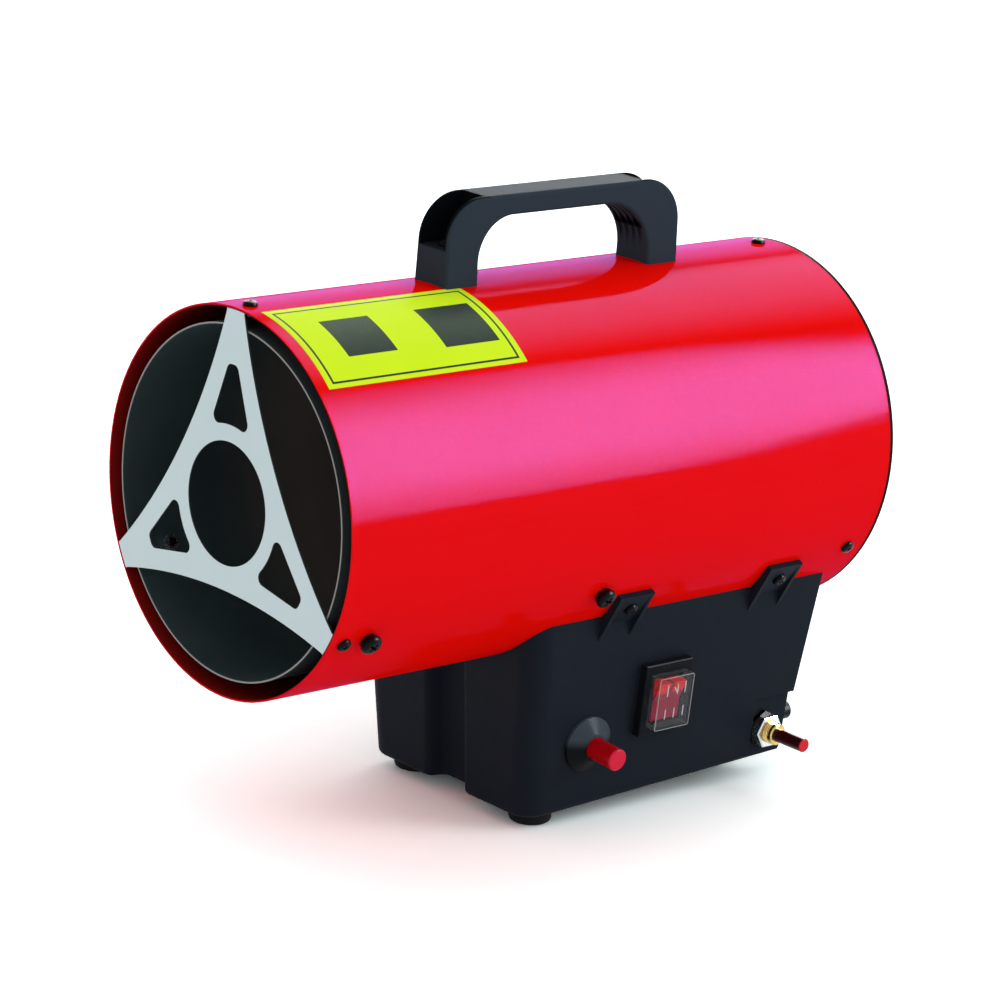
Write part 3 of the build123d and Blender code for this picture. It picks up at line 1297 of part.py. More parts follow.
def run(points, diameter, bend):
    """Round bar along straight runs joined by bends of one radius."""
    with BuildLine() as path:
        FilletPolyline(*points, radius=bend)
    with BuildSketch(Plane(origin=path.line @ 0, z_dir=path.line % 0)) as section:
        Circle(diameter / 2)
    sweep(section.sketch, path=path.line)


# Gas pipe from the top of the valve, through the casing window, to the back of the nozzle.
VALVE_TOP = VALVE_HEIGHT + VALVE_BODY_HEIGHT / 2 + FASTENER_FIT
PIPE_X = INLET_X - 5
PIPE_LEVEL = (VALVE_TOP + AXIS_HEIGHT - CASING_R) / 2
CAPILLARY_LEVEL = PIPE_LEVEL - CAPILLARY_BELOW
with BuildPart() as gas_pipe:
    run(
        [
            (0, NOZZLE_BACK_Y + FASTENER_FIT, AXIS_HEIGHT),
            (0, PIPE_DROP_Y, AXIS_HEIGHT),
            (0, PIPE_DROP_Y, PIPE_LEVEL),
            (PIPE_X, VALVE_Y, PIPE_LEVEL),
            (PIPE_X, VALVE_Y, VALVE_TOP),
        ],
        PIPE_DIAMETER,
        PIPE_BEND,
    )
gas_pipe.part.label = "gas_pipe"
export_step(gas_pipe.part, "parts/gas_pipe.step")

# Ignition lead from the igniter to the electrode.
lead_end = IGNITER_SEAT.offset(-IGNITER_DEPTH - FASTENER_FIT).origin
lead_level = lead_end.Z + (lead_end.X - PROBE_SIDE) * SIDE_SLOPE
with BuildPart() as ignition_lead:
    run(
        [
            (PROBE_SIDE, PROBE_BACK_Y + FASTENER_FIT, PROBE_Z),
            (PROBE_SIDE, LEAD_DROP_Y, PROBE_Z),
            (PROBE_SIDE, LEAD_DROP_Y, lead_level),
            (PROBE_SIDE, IGNITER_Y, lead_level),
            (lead_end.X, lead_end.Y, lead_end.Z),
        ],
        LEAD_DIAMETER,
        LEAD_BEND,
    )
ignition_lead.part.label = "ignition_lead"
export_step(ignition_lead.part, "parts/ignition_lead.step")

# Thermocouple capillary from the probe to the valve.
with BuildPart() as thermocouple_lead:
    run(
        [
            (-PROBE_SIDE, PROBE_BACK_Y + FASTENER_FIT, PROBE_Z),
            (-PROBE_SIDE, LEAD_DROP_Y, PROBE_Z),
            (-PROBE_SIDE, LEAD_DROP_Y, CAPILLARY_LEVEL),
            (-PROBE_SIDE, VALVE_Y, CAPILLARY_LEVEL),
            (-PROBE_SIDE, VALVE_Y, VALVE_HEIGHT),
            (PAD_X - TRAY_WALL - VALVE_BODY_LENGTH - 2 * FASTENER_FIT, VALVE_Y, VALVE_HEIGHT),
        ],
        CAPILLARY_DIAMETER,
        LEAD_BEND,
    )
thermocouple_lead.part.label = "thermocouple_lead"
export_step(thermocouple_lead.part, "parts/thermocouple_lead.step")

# Motor lead from the can, through its own hole in the casing, to the back of the switch.
switch_back = SWITCH_SEAT.offset(-SWITCH_BODY_DEPTH - 0.25).origin
with BuildPart() as motor_lead:
    run(
        [
            (MOTOR_LEAD_SIDE, MOTOR_LEAD_Y, AXIS_HEIGHT - MOTOR_DIAMETER / 2 + MOTOR_LEAD_ENTRY - 1),
            (MOTOR_LEAD_SIDE, MOTOR_LEAD_Y, switch_back.Z),
            (MOTOR_LEAD_SIDE, SWITCH_Y, switch_back.Z),
            (switch_back.X, SWITCH_Y, switch_back.Z),
        ],
        LEAD_DIAMETER,
        LEAD_BEND,
    )
motor_lead.part.label = "motor_lead"
export_step(motor_lead.part, "parts/motor_lead.step")
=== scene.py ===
# %% [markdown]
# # A portable gas heater in a white studio
#
# The heater is a steel tube painted glossy red. It stands on a dark moulded tray that holds the
# controls, and it has a moulded handle on top and a pressed guard over its hot end.
# All of those pieces come ready made as solids in real size. This file adds what the solids do not
# carry: the finish of every surface, and the small things a maker would not model as a solid, such
# as the cross in a screw head, a cut thread, or a printed sticker.

# %% Load the solids
import bpy
from math import cos, pi, radians, sin
from mathutils import Matrix, Vector


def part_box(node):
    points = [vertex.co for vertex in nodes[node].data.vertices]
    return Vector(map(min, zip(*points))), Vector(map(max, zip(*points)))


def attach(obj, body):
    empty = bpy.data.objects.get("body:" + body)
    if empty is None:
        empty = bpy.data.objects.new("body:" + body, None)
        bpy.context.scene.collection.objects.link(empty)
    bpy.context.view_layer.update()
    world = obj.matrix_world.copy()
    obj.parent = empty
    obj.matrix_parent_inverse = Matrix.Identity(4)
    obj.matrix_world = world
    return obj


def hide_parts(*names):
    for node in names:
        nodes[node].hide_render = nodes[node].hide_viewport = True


MM = 0.001
CASING_HEIGHT = 0.171
CASING_RADIUS = 92.5 * MM

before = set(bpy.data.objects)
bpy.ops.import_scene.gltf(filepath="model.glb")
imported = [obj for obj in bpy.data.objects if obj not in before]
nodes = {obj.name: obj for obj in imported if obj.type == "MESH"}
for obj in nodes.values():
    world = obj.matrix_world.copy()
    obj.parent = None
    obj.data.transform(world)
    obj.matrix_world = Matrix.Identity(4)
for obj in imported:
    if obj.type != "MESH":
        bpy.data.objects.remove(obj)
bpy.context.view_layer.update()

# %% [markdown]
# ## Camera
#
# A camera could be aimed with a Track To constraint, but a handheld one is also turned a little
# about its own view line. So its rotation is put together from three angles: how far it has walked
# round the heater, how high it looks down from, and that small roll.

# %% Camera
CAMERA_PLACE = Vector((1.3840, -1.2394, 0.6737))
CAMERA_ROUND = radians(48.2327)
CAMERA_HEIGHT = radians(15.7586)
CAMERA_ROLL = radians(3.9037)
CAMERA_LENS = 142.54
SENSOR_WIDTH = 36


def camera_turn(walked, raised, roll):
    """The camera's rotation: its right, up and backward directions as columns."""
    back = Vector((sin(walked) * cos(raised), -cos(walked) * cos(raised), sin(raised)))
    level = Vector((cos(walked), sin(walked), 0))
    rise = back.cross(level)
    right = level * cos(roll) + rise * sin(roll)
    up = rise * cos(roll) - level * sin(roll)
    return Matrix((right, up, back)).transposed()


camera = bpy.data.objects.new("camera", bpy.data.cameras.new("camera"))
camera.data.lens = CAMERA_LENS
camera.data.sensor_width = SENSOR_WIDTH
camera_pose = camera_turn(CAMERA_ROUND, CAMERA_HEIGHT, CAMERA_ROLL).to_4x4()
camera.matrix_world = Matrix.Translation(CAMERA_PLACE) @ camera_pose
bpy.context.scene.collection.objects.link(camera)
bpy.context.scene.camera = camera
print("camera is", round(CAMERA_PLACE.length, 2), "m from the heater's foot")

# %% [markdown]
# ## Sums on shader values
#
# A finish is mostly arithmetic: a mask times a strength, plus a base value. Dragging Math nodes
# about by hand hides that, so a small class stands for one socket and turns `1 - mask * 0.3` into
# the nodes that work it out.


# %% Value
class Value:
    """A number that varies over a surface. Sums on it become Math nodes."""

    def __init__(self, finish, socket):
        self.finish = finish
        self.socket = socket

    def math(self, operation, *numbers):
        """One Math node with its inputs in order."""
        return self.finish.node("Math", {"operation": operation}, dict(enumerate(numbers)))

    def __add__(self, other):
        return self.math("ADD", self, other)

    def __sub__(self, other):
        return self.math("SUBTRACT", self, other)

    def __rsub__(self, other):
        return self.math("SUBTRACT", other, self)

    def __mul__(self, other):
        return self.math("MULTIPLY", self, other)

    __radd__ = __add__
    __rmul__ = __mul__

    def __abs__(self):
        return self.math("ABSOLUTE", self)

    def root(self):
        return self.math("SQRT", self)

    def most(self, other):
        return self.math("MAXIMUM", self, other)

    def ramp(self, low, high):
        """0 where the number is below low, 1 above high, and a smooth slope between."""
        options = {"interpolation_type": "SMOOTHSTEP"}
        return self.finish.node("MapRange", options, {"Value": self, 1: low, 2: high})

    def between(self, low, high, soft):
        """1 where the number lies between low and high, with soft steps of this width."""
        above = self.ramp(low - soft / 2, low + soft / 2)
        return above * (1 - self.ramp(high - soft / 2, high + soft / 2))


print("numbers can be added, multiplied and ramped over a surface")

# %% [markdown]
# ## A material under construction
#
# Masks need something to start from: where a point is, some noise, or how near an edge is. Those
# starts, and the two ways to close a material, sit together in one class. Every node but the
# output comes from its `node` method, which sets the node's options first and then fills its
# inputs with numbers, colours or other sockets.


# %% Finish
class Finish:
    """A material under construction."""

    def __init__(self, name):
        self.material = bpy.data.materials.new(name)
        self.material.use_nodes = True
        self.tree = self.material.node_tree
        self.tree.nodes.clear()
        self.place = self.node("TexCoord", output="Object")

    def node(self, kind, options=None, inputs=None, output=0):
        """A shader node of a kind, with its options set and then its inputs filled."""
        made = self.tree.nodes.new("ShaderNode" + kind)
        for name, setting in (options or {}).items():
            setattr(made, name, setting)
        for name, given in (inputs or {}).items():
            if isinstance(given, Value):
                self.tree.links.new(given.socket, made.inputs[name])
            elif isinstance(given, tuple) and len(given) < len(made.inputs[name].default_value):
                made.inputs[name].default_value = (*given, 1)
            else:
                made.inputs[name].default_value = given
        return Value(self, made.outputs[output])

    def axis(self, letter):
        """How far a point is along X, Y or Z, in metres."""
        return self.node("SeparateXYZ", inputs={0: self.place}, output=letter)

    def radius(self):
        """How far a point is from the casing's axis, in metres."""
        x, z = self.axis("X"), self.axis("Z") - CASING_HEIGHT
        return (x * x + z * z).root()

    def noise(self, size, detail=2, stretch=(1, 1, 1)):
        """Soft random patches of about this size, between 0 and 1."""
        scale = tuple(1 / (size * s) for s in stretch)
        place = self.node("Mapping", inputs={"Vector": self.place, "Scale": scale})
        return self.node("TexNoise", inputs={"Vector": place, "Scale": 1, "Detail": detail})

    def mix(self, share, low, high):
        """The low colour where share is 0 and the high one where it is 1."""
        inputs = {0: share, 6: low, 7: high}
        return self.node("Mix", {"data_type": "RGBA"}, inputs, output=2)

    def dot(self, first, second):
        """How much one direction runs along another."""
        return self.node("VectorMath", {"operation": "DOT_PRODUCT"}, {0: first, 1: second}, "Value")

    def edges(self, width):
        """1 on edges and corners, and 0 on flat or gently curved stretches."""
        soft = self.node("Bevel", {"samples": 4}, {"Radius": width})
        true = self.node("NewGeometry", output="Normal")
        return (1 - self.dot(soft, true)).ramp(0.02, 0.3)

    def bump(self, height, depth):
        """A surface normal tilted by height, which is this many metres deep."""
        return self.node("Bump", inputs={"Height": height, "Distance": depth, "Strength": 1})

    def surface(self, **inputs):
        """Closes the material with a Principled shader."""
        named = {}
        for name, given in inputs.items():
            named[name.replace("_", " ").title().replace("Ior", "IOR")] = given
        return self.out(self.node("BsdfPrincipled", inputs=named))

    def out(self, shader):
        """Shows the shader on the surface."""
        end = self.tree.nodes.new("ShaderNodeOutputMaterial")
        self.tree.links.new(shader.socket, end.inputs["Surface"])
        return self.material


print("finishes can be written as sums")

# %% [markdown]
# ## Floor
#
# A product like this is shot on a white sweep. The floor needs to come out white and still hold a
# soft shadow. A glowing sheet would be white but hold no shadow, so this one is a painted sheet. It
# is paler to the camera, and to anything that mirrors it, than it is to the light it scatters. The
# kind of ray switches the two, which keeps the heater from being lit from below. The paler tone is
# a little short of red, because the casing throws a red glow on the floor.


# %% Floor
FLOOR_SIDE = 30
FLOOR_TONE = (0.86, 0.86, 0.86)
FLOOR_SEEN = (1.42, 1.56, 1.56)


def seen(finish):
    """1 for rays from the camera or from a mirror or glass, and 0 for scattered light."""
    kinds = ("Is Camera Ray", "Is Glossy Ray", "Is Transmission Ray")
    camera_ray, glossy, through = (finish.node("LightPath", output=kind) for kind in kinds)
    return camera_ray.most(glossy).most(through)


def studio_sheet(name, width, length, material):
    """A flat sheet that belongs to the studio and not to the heater."""
    corners = ((-0.5, -0.5), (0.5, -0.5), (0.5, 0.5), (-0.5, 0.5))
    mesh = bpy.data.meshes.new(name)
    mesh.from_pydata([(u * width, v * length, 0) for u, v in corners], [], [(0, 1, 2, 3)])
    mesh.materials.append(material)
    made = bpy.data.objects.new(name, mesh)
    bpy.context.scene.collection.objects.link(made)
    return made


def white_floor():
    finish = Finish("white_floor")
    tone = finish.mix(seen(finish), FLOOR_TONE, FLOOR_SEEN)
    return finish.out(finish.node("BsdfDiffuse", inputs={"Color": tone}))


studio_sheet("floor", FLOOR_SIDE, FLOOR_SIDE, white_floor())
print("floor tone", FLOOR_TONE, "seen as", FLOOR_SEEN)

# %% [markdown]
# ## White all round
#
# The studio's walls and ceiling are white too. They could be built from sheets, but the world's
# background has no corners that paint could mirror. It is plain white to whatever looks at it, and
# a little weaker as light, so that the lamps still draw the shapes. The view transform is set to
# Standard, which shows white as white and leaves the paint's strong red alone.

# %% Surroundings
FILL_LIGHT = 0.8


def surroundings():
    world = bpy.data.worlds.new("surroundings")
    world.use_nodes = True
    bpy.context.scene.world = world
    tree = world.node_tree
    rays = tree.nodes.new("ShaderNodeLightPath")
    level = tree.nodes.new("ShaderNodeMapRange")
    level.inputs["To Min"].default_value = 1
    level.inputs["To Max"].default_value = FILL_LIGHT
    tree.links.new(rays.outputs["Is Diffuse Ray"], level.inputs["Value"])
    background = tree.nodes["Background"]
    background.inputs["Color"].default_value = (1, 1, 1, 1)
    tree.links.new(level.outputs["Result"], background.inputs["Strength"])


surroundings()
bpy.context.scene.view_settings.view_transform = "Standard"
print("white all round, with a fill light of", FILL_LIGHT)

# %% [markdown]
# ## Softboxes
#
# Glossy paint shows its lamps as stripes, so the stripes decide where the lamps hang. A tube
# mirrors each place round its axis to one line along it, and the angle round the axis is all that
# has to be chosen. Blender's area lamps have hard edges in a mirror. A glowing sheet whose
# brightness falls towards two of its edges fades as a lamp does behind cloth. Its strength in
# mirrors and the light it sheds are set apart: a dark paint skin needs a strong lamp to show a
# stripe at all. A tint shows only in mirrors too, and it keeps the overhead stripe from turning
# violet.


# %% Softboxes
LAMP_AIM = Vector((0.06, 0, 0.2))
LAMP_DISTANCE = 4.0
LAMP_BACK = 0.641


def cloth_glow(name, width, shine, light, fade, tint):
    """A glow that fades towards both ends of a sheet of this width."""
    finish = Finish(name)
    mirrored = seen(finish)
    inwards = 1 - abs(finish.axis("X")) * (2 / width)
    strength = inwards.ramp(0, fade) * (light + mirrored * (shine - light))
    colour = finish.mix(mirrored, (1, 1, 1), tint)
    return finish.out(finish.node("Emission", inputs={"Color": colour, "Strength": strength}))


def softbox(name, round_axis, size, shine, light, fade, tint=(1, 1, 1)):
    """A glowing sheet behind the heater, turned round the casing's axis from +X up."""
    side = (1 - LAMP_BACK**2) ** 0.5
    turn = radians(round_axis)
    towards = Vector((side * cos(turn), LAMP_BACK, side * sin(turn)))
    along = Vector((0, 1, 0))
    along = (along - towards * along.dot(towards)).normalized()
    turned = Matrix((along.cross(towards), along, -towards)).transposed().to_4x4()
    sheet = studio_sheet(name, *size, cloth_glow(name, size[0], shine, light, fade, tint))
    sheet.matrix_world = Matrix.Translation(LAMP_AIM + towards * LAMP_DISTANCE) @ turned
    sheet.visible_camera = False


softbox("key_softbox", 33, (6.0, 1.3), shine=112, light=4.5, fade=0.85)
softbox("top_softbox", 110, (4.2, 2.4), shine=27, light=2.3, fade=0.8, tint=(0.95, 1.15, 0.75))
softbox("far_softbox", 165, (3.0, 2.4), shine=10, light=2.2, fade=0.6)
print("three softboxes hang behind the heater: right, overhead and left")

# %% [markdown]
# ## Dressing a solid
#
# Most solids keep their own mesh and only change their material. Clearing the material slots before
# one finish goes in leaves nothing of the plain grey that the solids come in.


# %% Dressing a solid
def give(material, *names):
    """Puts one finish on whole solids."""
    for name in names:
        nodes[name].data.materials.clear()
        nodes[name].data.materials.append(material)


print("solids can be dressed by name")

# %% [markdown]
# ## Paint on the casing
#
# The casing is stove enamelled: a saturated red under a hard gloss skin. Such a skin mirrors almost
# sharply, with the faint waves that painters call orange peel, and a few grains of dust are caught
# in it. A Principled shader could carry both, but its mirror would be white, and this skin tints
# what it mirrors. So a matt red is mixed with a tinted gloss, and more so where the surface turns
# away. The waves are a bump of a few microns, and the dust is a sparse speckle. Inside the tube the
# red is darkened to a brown by painted shade.


# %% Glossy red paint
WALL_INSIDE, WALL_OUTSIDE = 91.6 * MM, 91.9 * MM
SHADED_INSIDE_RED = (0.20, 0.006, 0.005)
FRESH_PAINT = ((0.76, 0.003, 0.001), (0.81, 0.004, 0.001))
DUST_COLOUR = (0.9, 0.25, 0.3)
GLOSS_TINT = (0.16, 0.18, 0.66)
GLOSS_LEAST, GLOSS_GAIN = 0.008, 0.15


def speckle(finish, spacing, size, share):
    """Small round grains, on average one in a cell of this spacing, in a share of the cells."""
    place = finish.node("Mapping", inputs={"Vector": finish.place, "Scale": (1 / spacing,) * 3})
    cells = {"feature": "F1"}
    inputs = {"Vector": place, "Scale": 1}
    near = finish.node("TexVoronoi", cells, inputs, "Distance")
    pick = finish.node("TexVoronoi", cells, inputs, "Color")
    chance = finish.node("SeparateColor", inputs={0: pick})
    return (1 - near.ramp(size * 0.4, size)) * (1 - chance.ramp(share, share + 0.01))


def matt_red(finish, dust, skin):
    # Inside the tube's wall the red gives way to a painted shade.
    outside = finish.radius().ramp(WALL_INSIDE, WALL_OUTSIDE)
    fresh = finish.mix(finish.noise(90 * MM), *FRESH_PAINT)
    tone = finish.mix(outside, SHADED_INSIDE_RED, fresh)
    inputs = {"Base Color": finish.mix(dust * 0.5, tone, DUST_COLOUR), "Normal": skin}
    inputs |= {"Roughness": 0.5, "Specular IOR Level": 0.0}
    return finish.node("BsdfPrincipled", inputs=inputs)


def glossy_red():
    finish = Finish("glossy_red")
    grains = speckle(finish, spacing=4 * MM, size=0.05, share=0.25)
    dust = grains * finish.noise(60 * MM).ramp(0.45, 0.65)
    skin = finish.bump(finish.noise(2.5 * MM, 1), 0.002 * MM)
    dulled = 0.11 + dust * 0.3 + finish.noise(25 * MM) * 0.02
    inputs = {"Color": GLOSS_TINT, "Roughness": dulled, "Normal": skin}
    gloss = finish.node("BsdfGlossy", inputs=inputs)
    facing = finish.node("LayerWeight", inputs={"Blend": 0.5}, output="Facing")
    share = GLOSS_LEAST + facing.math("POWER", facing, 5) * GLOSS_GAIN
    layers = {0: share, 1: matt_red(finish, dust, skin), 2: gloss}
    return finish.out(finish.node("MixShader", inputs=layers))


give(glossy_red(), "outer_casing")
print("casing painted")

# %% [markdown]
# ## Moulded plastic
#
# The tray and the handle are moulded in a dark blue-grey polypropylene with a fine spark-eroded
# grain, which scatters the light so that they look matt. The grain is a noise well under a
# millimetre across. The edges are a little glossier, and lighter with a painted highlight where
# they catch the light. A zone of painted shade can be kept nearly black by a mask of its own.


# %% Moulded plastic
ZONE_SHADE = 0.12


def moulded(
    name, colour, edge_colour, roughness, shine=0.1, grain=0.35 * MM, depth=0.02 * MM, dark=None
):
    """Grained plastic, edges lit by a painted highlight. Dark masks a zone of painted shade."""
    finish = Finish(name)
    texture = finish.noise(grain, 3)
    patches = finish.noise(30 * MM)
    edge_highlight_and_polish = finish.edges(0.8 * MM) * (0.4 + patches * 0.6)
    # The edges are lightened as a painted highlight.
    tone = finish.mix(edge_highlight_and_polish, colour, edge_colour)
    # The dark zone is painted shade.
    if dark:
        tone = finish.mix(dark(finish), tone, tuple(c * ZONE_SHADE for c in colour))
    return finish.surface(
        base_color=tone,
        roughness=roughness - edge_highlight_and_polish * 0.1 + patches * 0.06 - 0.03,
        specular_ior_level=shine,
        normal=finish.bump(texture, depth),
    )


tray_plastic = moulded("tray_plastic", (0.009, 0.013, 0.020), (0.020, 0.028, 0.038), 0.5, 0.03)
foot_rubber = moulded(
    "foot_rubber", (0.010, 0.010, 0.011), (0.02, 0.02, 0.02), 0.75, grain=0.8 * MM
)
switch_plastic = moulded(
    "switch_plastic", (0.006, 0.008, 0.010), (0.02, 0.024, 0.028), 0.4, 0.03, depth=0.004 * MM
)
give(tray_plastic, "control_tray")
give(foot_rubber, "foot_front_left", "foot_front_right", "foot_rear_left", "foot_rear_right")
give(switch_plastic, "switch_body", "igniter_body", "cable_gland", "gland_nut")
print("tray, feet and switch done")

# %% [markdown]
# ## Handle and igniter collar
#
# Two mouldings have zones of painted light and shade. The handle has a deep channel over each of
# its screws. The channels could be left to fall dark by shadow alone, but a matt plastic in a white
# studio stays too pale there, so they are darkened with painted shade. The igniter's flared collar
# has a blue-grey painted sheen on its upper half and painted shade, nearly black, below. Both zones
# are masks along X, Y and Z, so they keep to the shape whatever way it is looked at.

# %% Handle and igniter collar
HANDLE_MIDDLE = 17.4 * MM
CHANNEL_HALF_WIDTH = 9.5 * MM
CHANNEL_FROM_MIDDLE = 47 * MM
CHANNEL_FLOOR = 280 * MM


def handle_channels(finish):
    """1 inside the two channels that hold the handle's screws, where painted shade goes."""
    inside = 1 - abs(finish.axis("X")).ramp(CHANNEL_HALF_WIDTH, CHANNEL_HALF_WIDTH + 1 * MM)
    away = abs(finish.axis("Y") - HANDLE_MIDDLE)
    ends = away.ramp(CHANNEL_FROM_MIDDLE, CHANNEL_FROM_MIDDLE + 3 * MM)
    return inside * ends * finish.axis("Z").ramp(CHANNEL_FLOOR, CHANNEL_FLOOR + 1.5 * MM)


def collar_foot(finish):
    """1 on the lower half of the igniter's collar, where painted shade goes."""
    low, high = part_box("igniter_collar")
    middle = (low.z + high.z) / 2
    return 1 - finish.axis("Z").ramp(middle - 1 * MM, middle + 5 * MM)


# The handle's channels are painted shade.
handle_plastic = moulded(
    "handle_plastic", (0.028, 0.040, 0.055), (0.05, 0.07, 0.09), 0.45, 0.004, dark=handle_channels
)
# The collar's blue-grey is a painted sheen, and its lower half is painted shade.
collar_plastic = moulded(
    "collar_plastic",
    (0.040, 0.058, 0.070),
    (0.06, 0.08, 0.09),
    0.35,
    0.04,
    depth=0.004 * MM,
    dark=collar_foot,
)
give(handle_plastic, "handle")
give(collar_plastic, "igniter_collar")
print("handle and collar done")

# %% [markdown]
# ## Button plastics
#
# The igniter's button is moulded in a cloudy red plastic, with its end painted paler as a
# highlight.
# The valve's is a steel pin in a sleeve that is nearly black, with a red cap on its end. The rocker
# is red too, with painted light and shade: its two upper corners are painted bright as lit lobes,
# a painted shadow marks the gap between them, and it is painted deep magenta below as shade where
# it sinks into the switch. Each zone could be a mesh of its own. All three are one finish with a
# colour worked out first instead, so the zones sit in plain sight as masks along X, Y and Z.


# %% Buttons
def button(finish, deep, bright, roughness, shine):
    """A cloudy red moulding between two colours."""
    cloud = finish.noise(3 * MM)
    return finish.surface(
        base_color=finish.mix(cloud, deep, bright),
        roughness=roughness + finish.noise(1 * MM) * 0.05,
        specular_ior_level=shine,
        coat_weight=cloud * 0.1,
        coat_roughness=0.15,
        normal=finish.bump(finish.noise(0.8 * MM), 0.004 * MM),
    )


def outer_end(finish, node, depth, soft):
    """1 on the last stretch of a button that points along X."""
    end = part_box(node)[1].x
    return finish.axis("X").ramp(end - depth, end - depth + soft)


def tipped_red():
    finish = Finish("tipped_red")
    # The paler end is a painted highlight.
    tip = outer_end(finish, "igniter_button", 1.4 * MM, 0.3 * MM)
    deep = finish.mix(tip, (0.36, 0.001, 0.004), (0.62, 0.010, 0.040))
    bright = finish.mix(tip, (0.44, 0.002, 0.008), (0.70, 0.014, 0.050))
    return button(finish, deep, bright, roughness=0.3, shine=0.06)


def capped_pin():
    finish = Finish("capped_pin")
    cap = outer_end(finish, "valve_button", 0.7 * MM, 0.4 * MM)
    tone = finish.mix(cap, (0.035, 0.002, 0.004), (0.62, 0.004, 0.020))
    return button(finish, tone, tone, roughness=0.3, shine=0.15)


def rocker_red():
    finish = Finish("rocker_red")
    low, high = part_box("switch_rocker")
    middle = (low + high) / 2
    # Painted light and shade: lit upper lobes, a shaded gap between them and shade below.
    upper = finish.axis("Z").ramp(middle.z + 3 * MM, middle.z + 5 * MM)
    painted_gap_shade = upper * (1 - abs(finish.axis("Y") - middle.y).ramp(0.8 * MM, 1.6 * MM))
    painted_lobes = finish.mix(upper, (0.30, 0.004, 0.030), (0.85, 0.010, 0.012))
    tone = finish.mix(painted_gap_shade * 0.8, painted_lobes, (0.12, 0.002, 0.010))
    return button(finish, tone, tone, roughness=0.4, shine=0.1)


give(tipped_red(), "igniter_button")
give(capped_pin(), "valve_button")
give(rocker_red(), "switch_rocker")
print("buttons done")

# %% [markdown]
# ## Clear cover of the rocker
#
# A thin clear boot keeps dust off the rocker. Glass would do, but a wall this thin hardly bends the
# light, so a mix of a see-through shader and a pale skin is quicker and free of noise. The skin
# shows most on the boot's edges, where one looks through the wall lengthwise. The boot leans with
# the tray's wall, so its edges are found from how far a point is across, up and out of that wall.


# %% Clear cover
WALL_LEAN = radians(4.5)
WALL_OUT = (cos(WALL_LEAN), 0, -sin(WALL_LEAN))
WALL_UP = (sin(WALL_LEAN), 0, cos(WALL_LEAN))
WALL_ASIDE = (0, 1, 0)
COVER_FOOT = (64.106 * MM, 52.7 * MM, 59.8 * MM)
COVER_WIDTH, COVER_HEIGHT, COVER_PROUD = 22.6 * MM, 27.4 * MM, 11.05 * MM
COVER_EDGE = 0.45 * MM


def boot_edges(finish):
    """1 along the boot's outer edges, where two of its faces meet."""
    inputs = {0: finish.place, 1: COVER_FOOT}
    from_foot = finish.node("VectorMath", {"operation": "SUBTRACT"}, inputs)

    def near(direction, limit):
        reach = abs(finish.dot(from_foot, direction))
        return reach.ramp(limit - COVER_EDGE, limit - COVER_EDGE * 0.6)

    aside = near(WALL_ASIDE, COVER_WIDTH / 2)
    above = near(WALL_UP, COVER_HEIGHT / 2)
    ahead = near(WALL_OUT, COVER_PROUD)
    return (aside * ahead).most(above * ahead).most(aside * above)


def clear_boot():
    finish = Finish("clear_boot")
    haze = finish.noise(5 * MM)
    edge = boot_edges(finish)
    through = finish.node("BsdfTransparent", inputs={"Color": (0.96, 0.97, 0.97)})
    # The skin is painted paler on the edges, as a highlight.
    skin = finish.node(
        "BsdfPrincipled",
        inputs={
            "Base Color": finish.mix(edge, (0.42, 0.46, 0.50), (0.62, 0.66, 0.68)),
            "Roughness": 0.25 + haze * 0.1,
            "Specular IOR Level": 0.1,
            "Normal": finish.bump(haze, 0.03 * MM),
        },
    )
    share = 0.035 + edge * 0.45 + haze * 0.03
    return finish.out(finish.node("MixShader", inputs={0: share, 1: through, 2: skin}))


give(clear_boot(), "switch_cover")
print("cover done")

# %% [markdown]
# ## Metals
#
# The heater's metal parts differ in how they were finished more than in what they are: zinc plated,
# blackened, brushed, cast or darkened by heat. One function makes them all from a colour, a stain,
# a roughness, and how the surface is streaked. The guard's screws have been driven through sheet
# metal, which has scraped the black off their tips.


# %% Metals
TIP_RADIUS = (90 * MM, 90.5 * MM)


def metal(name, colour, stain, roughness, streak=(1, 1, 1), tip=None):
    """A clouded, streaked metal. Tip is its colour inside the casing, where that differs."""
    finish = Finish(name)
    cloud = finish.noise(12 * MM, 4) * 0.5
    lines = finish.noise(1.2 * MM, 3, streak)
    tone = finish.mix(cloud, colour, stain)
    if tip:
        tone = finish.mix(finish.radius().ramp(*TIP_RADIUS), tip, tone)
    return finish.surface(
        base_color=tone,
        metallic=1.0,
        roughness=roughness + lines * 0.12 + cloud * 0.15 - 0.08,
        normal=finish.bump(lines, 0.004 * MM),
    )


BLACKENED = ((0.007, 0.007, 0.008), (0.004, 0.004, 0.004), 0.42)
zinc = metal("zinc_plate", (0.72, 0.74, 0.76), (0.55, 0.57, 0.56), 0.25)
blackened = metal("blackened_steel", *BLACKENED)
black_bright_tip = metal("black_bright_tip", *BLACKENED, tip=(0.6, 0.62, 0.64))
steel = metal("bright_steel", (0.62, 0.62, 0.63), (0.45, 0.45, 0.45), 0.3, (1, 8, 1))
brass = metal("brass", (0.72, 0.50, 0.17), (0.45, 0.29, 0.10), 0.22)
copper = metal("copper_pipe", (0.72, 0.36, 0.22), (0.35, 0.17, 0.10), 0.35, (1, 8, 1))
aluminium = metal("fan_aluminium", (0.70, 0.71, 0.73), (0.55, 0.56, 0.57), 0.35, (6, 1, 1))
burnt = metal("burnt_steel", (0.30, 0.29, 0.29), (0.16, 0.13, 0.12), 0.45)
give(zinc, "chamber_spacers", "chamber_nuts", "valve_nut")
give(blackened, "valve_backing_nut", "gas_inlet")
give(steel, "motor_shaft", "electrode_pin", "thermocouple")
give(brass, "burner_nozzle", "valve_body", "valve_bush", "switch_terminals")
give(copper, "gas_pipe", "thermocouple_lead")
give(aluminium, "fan")
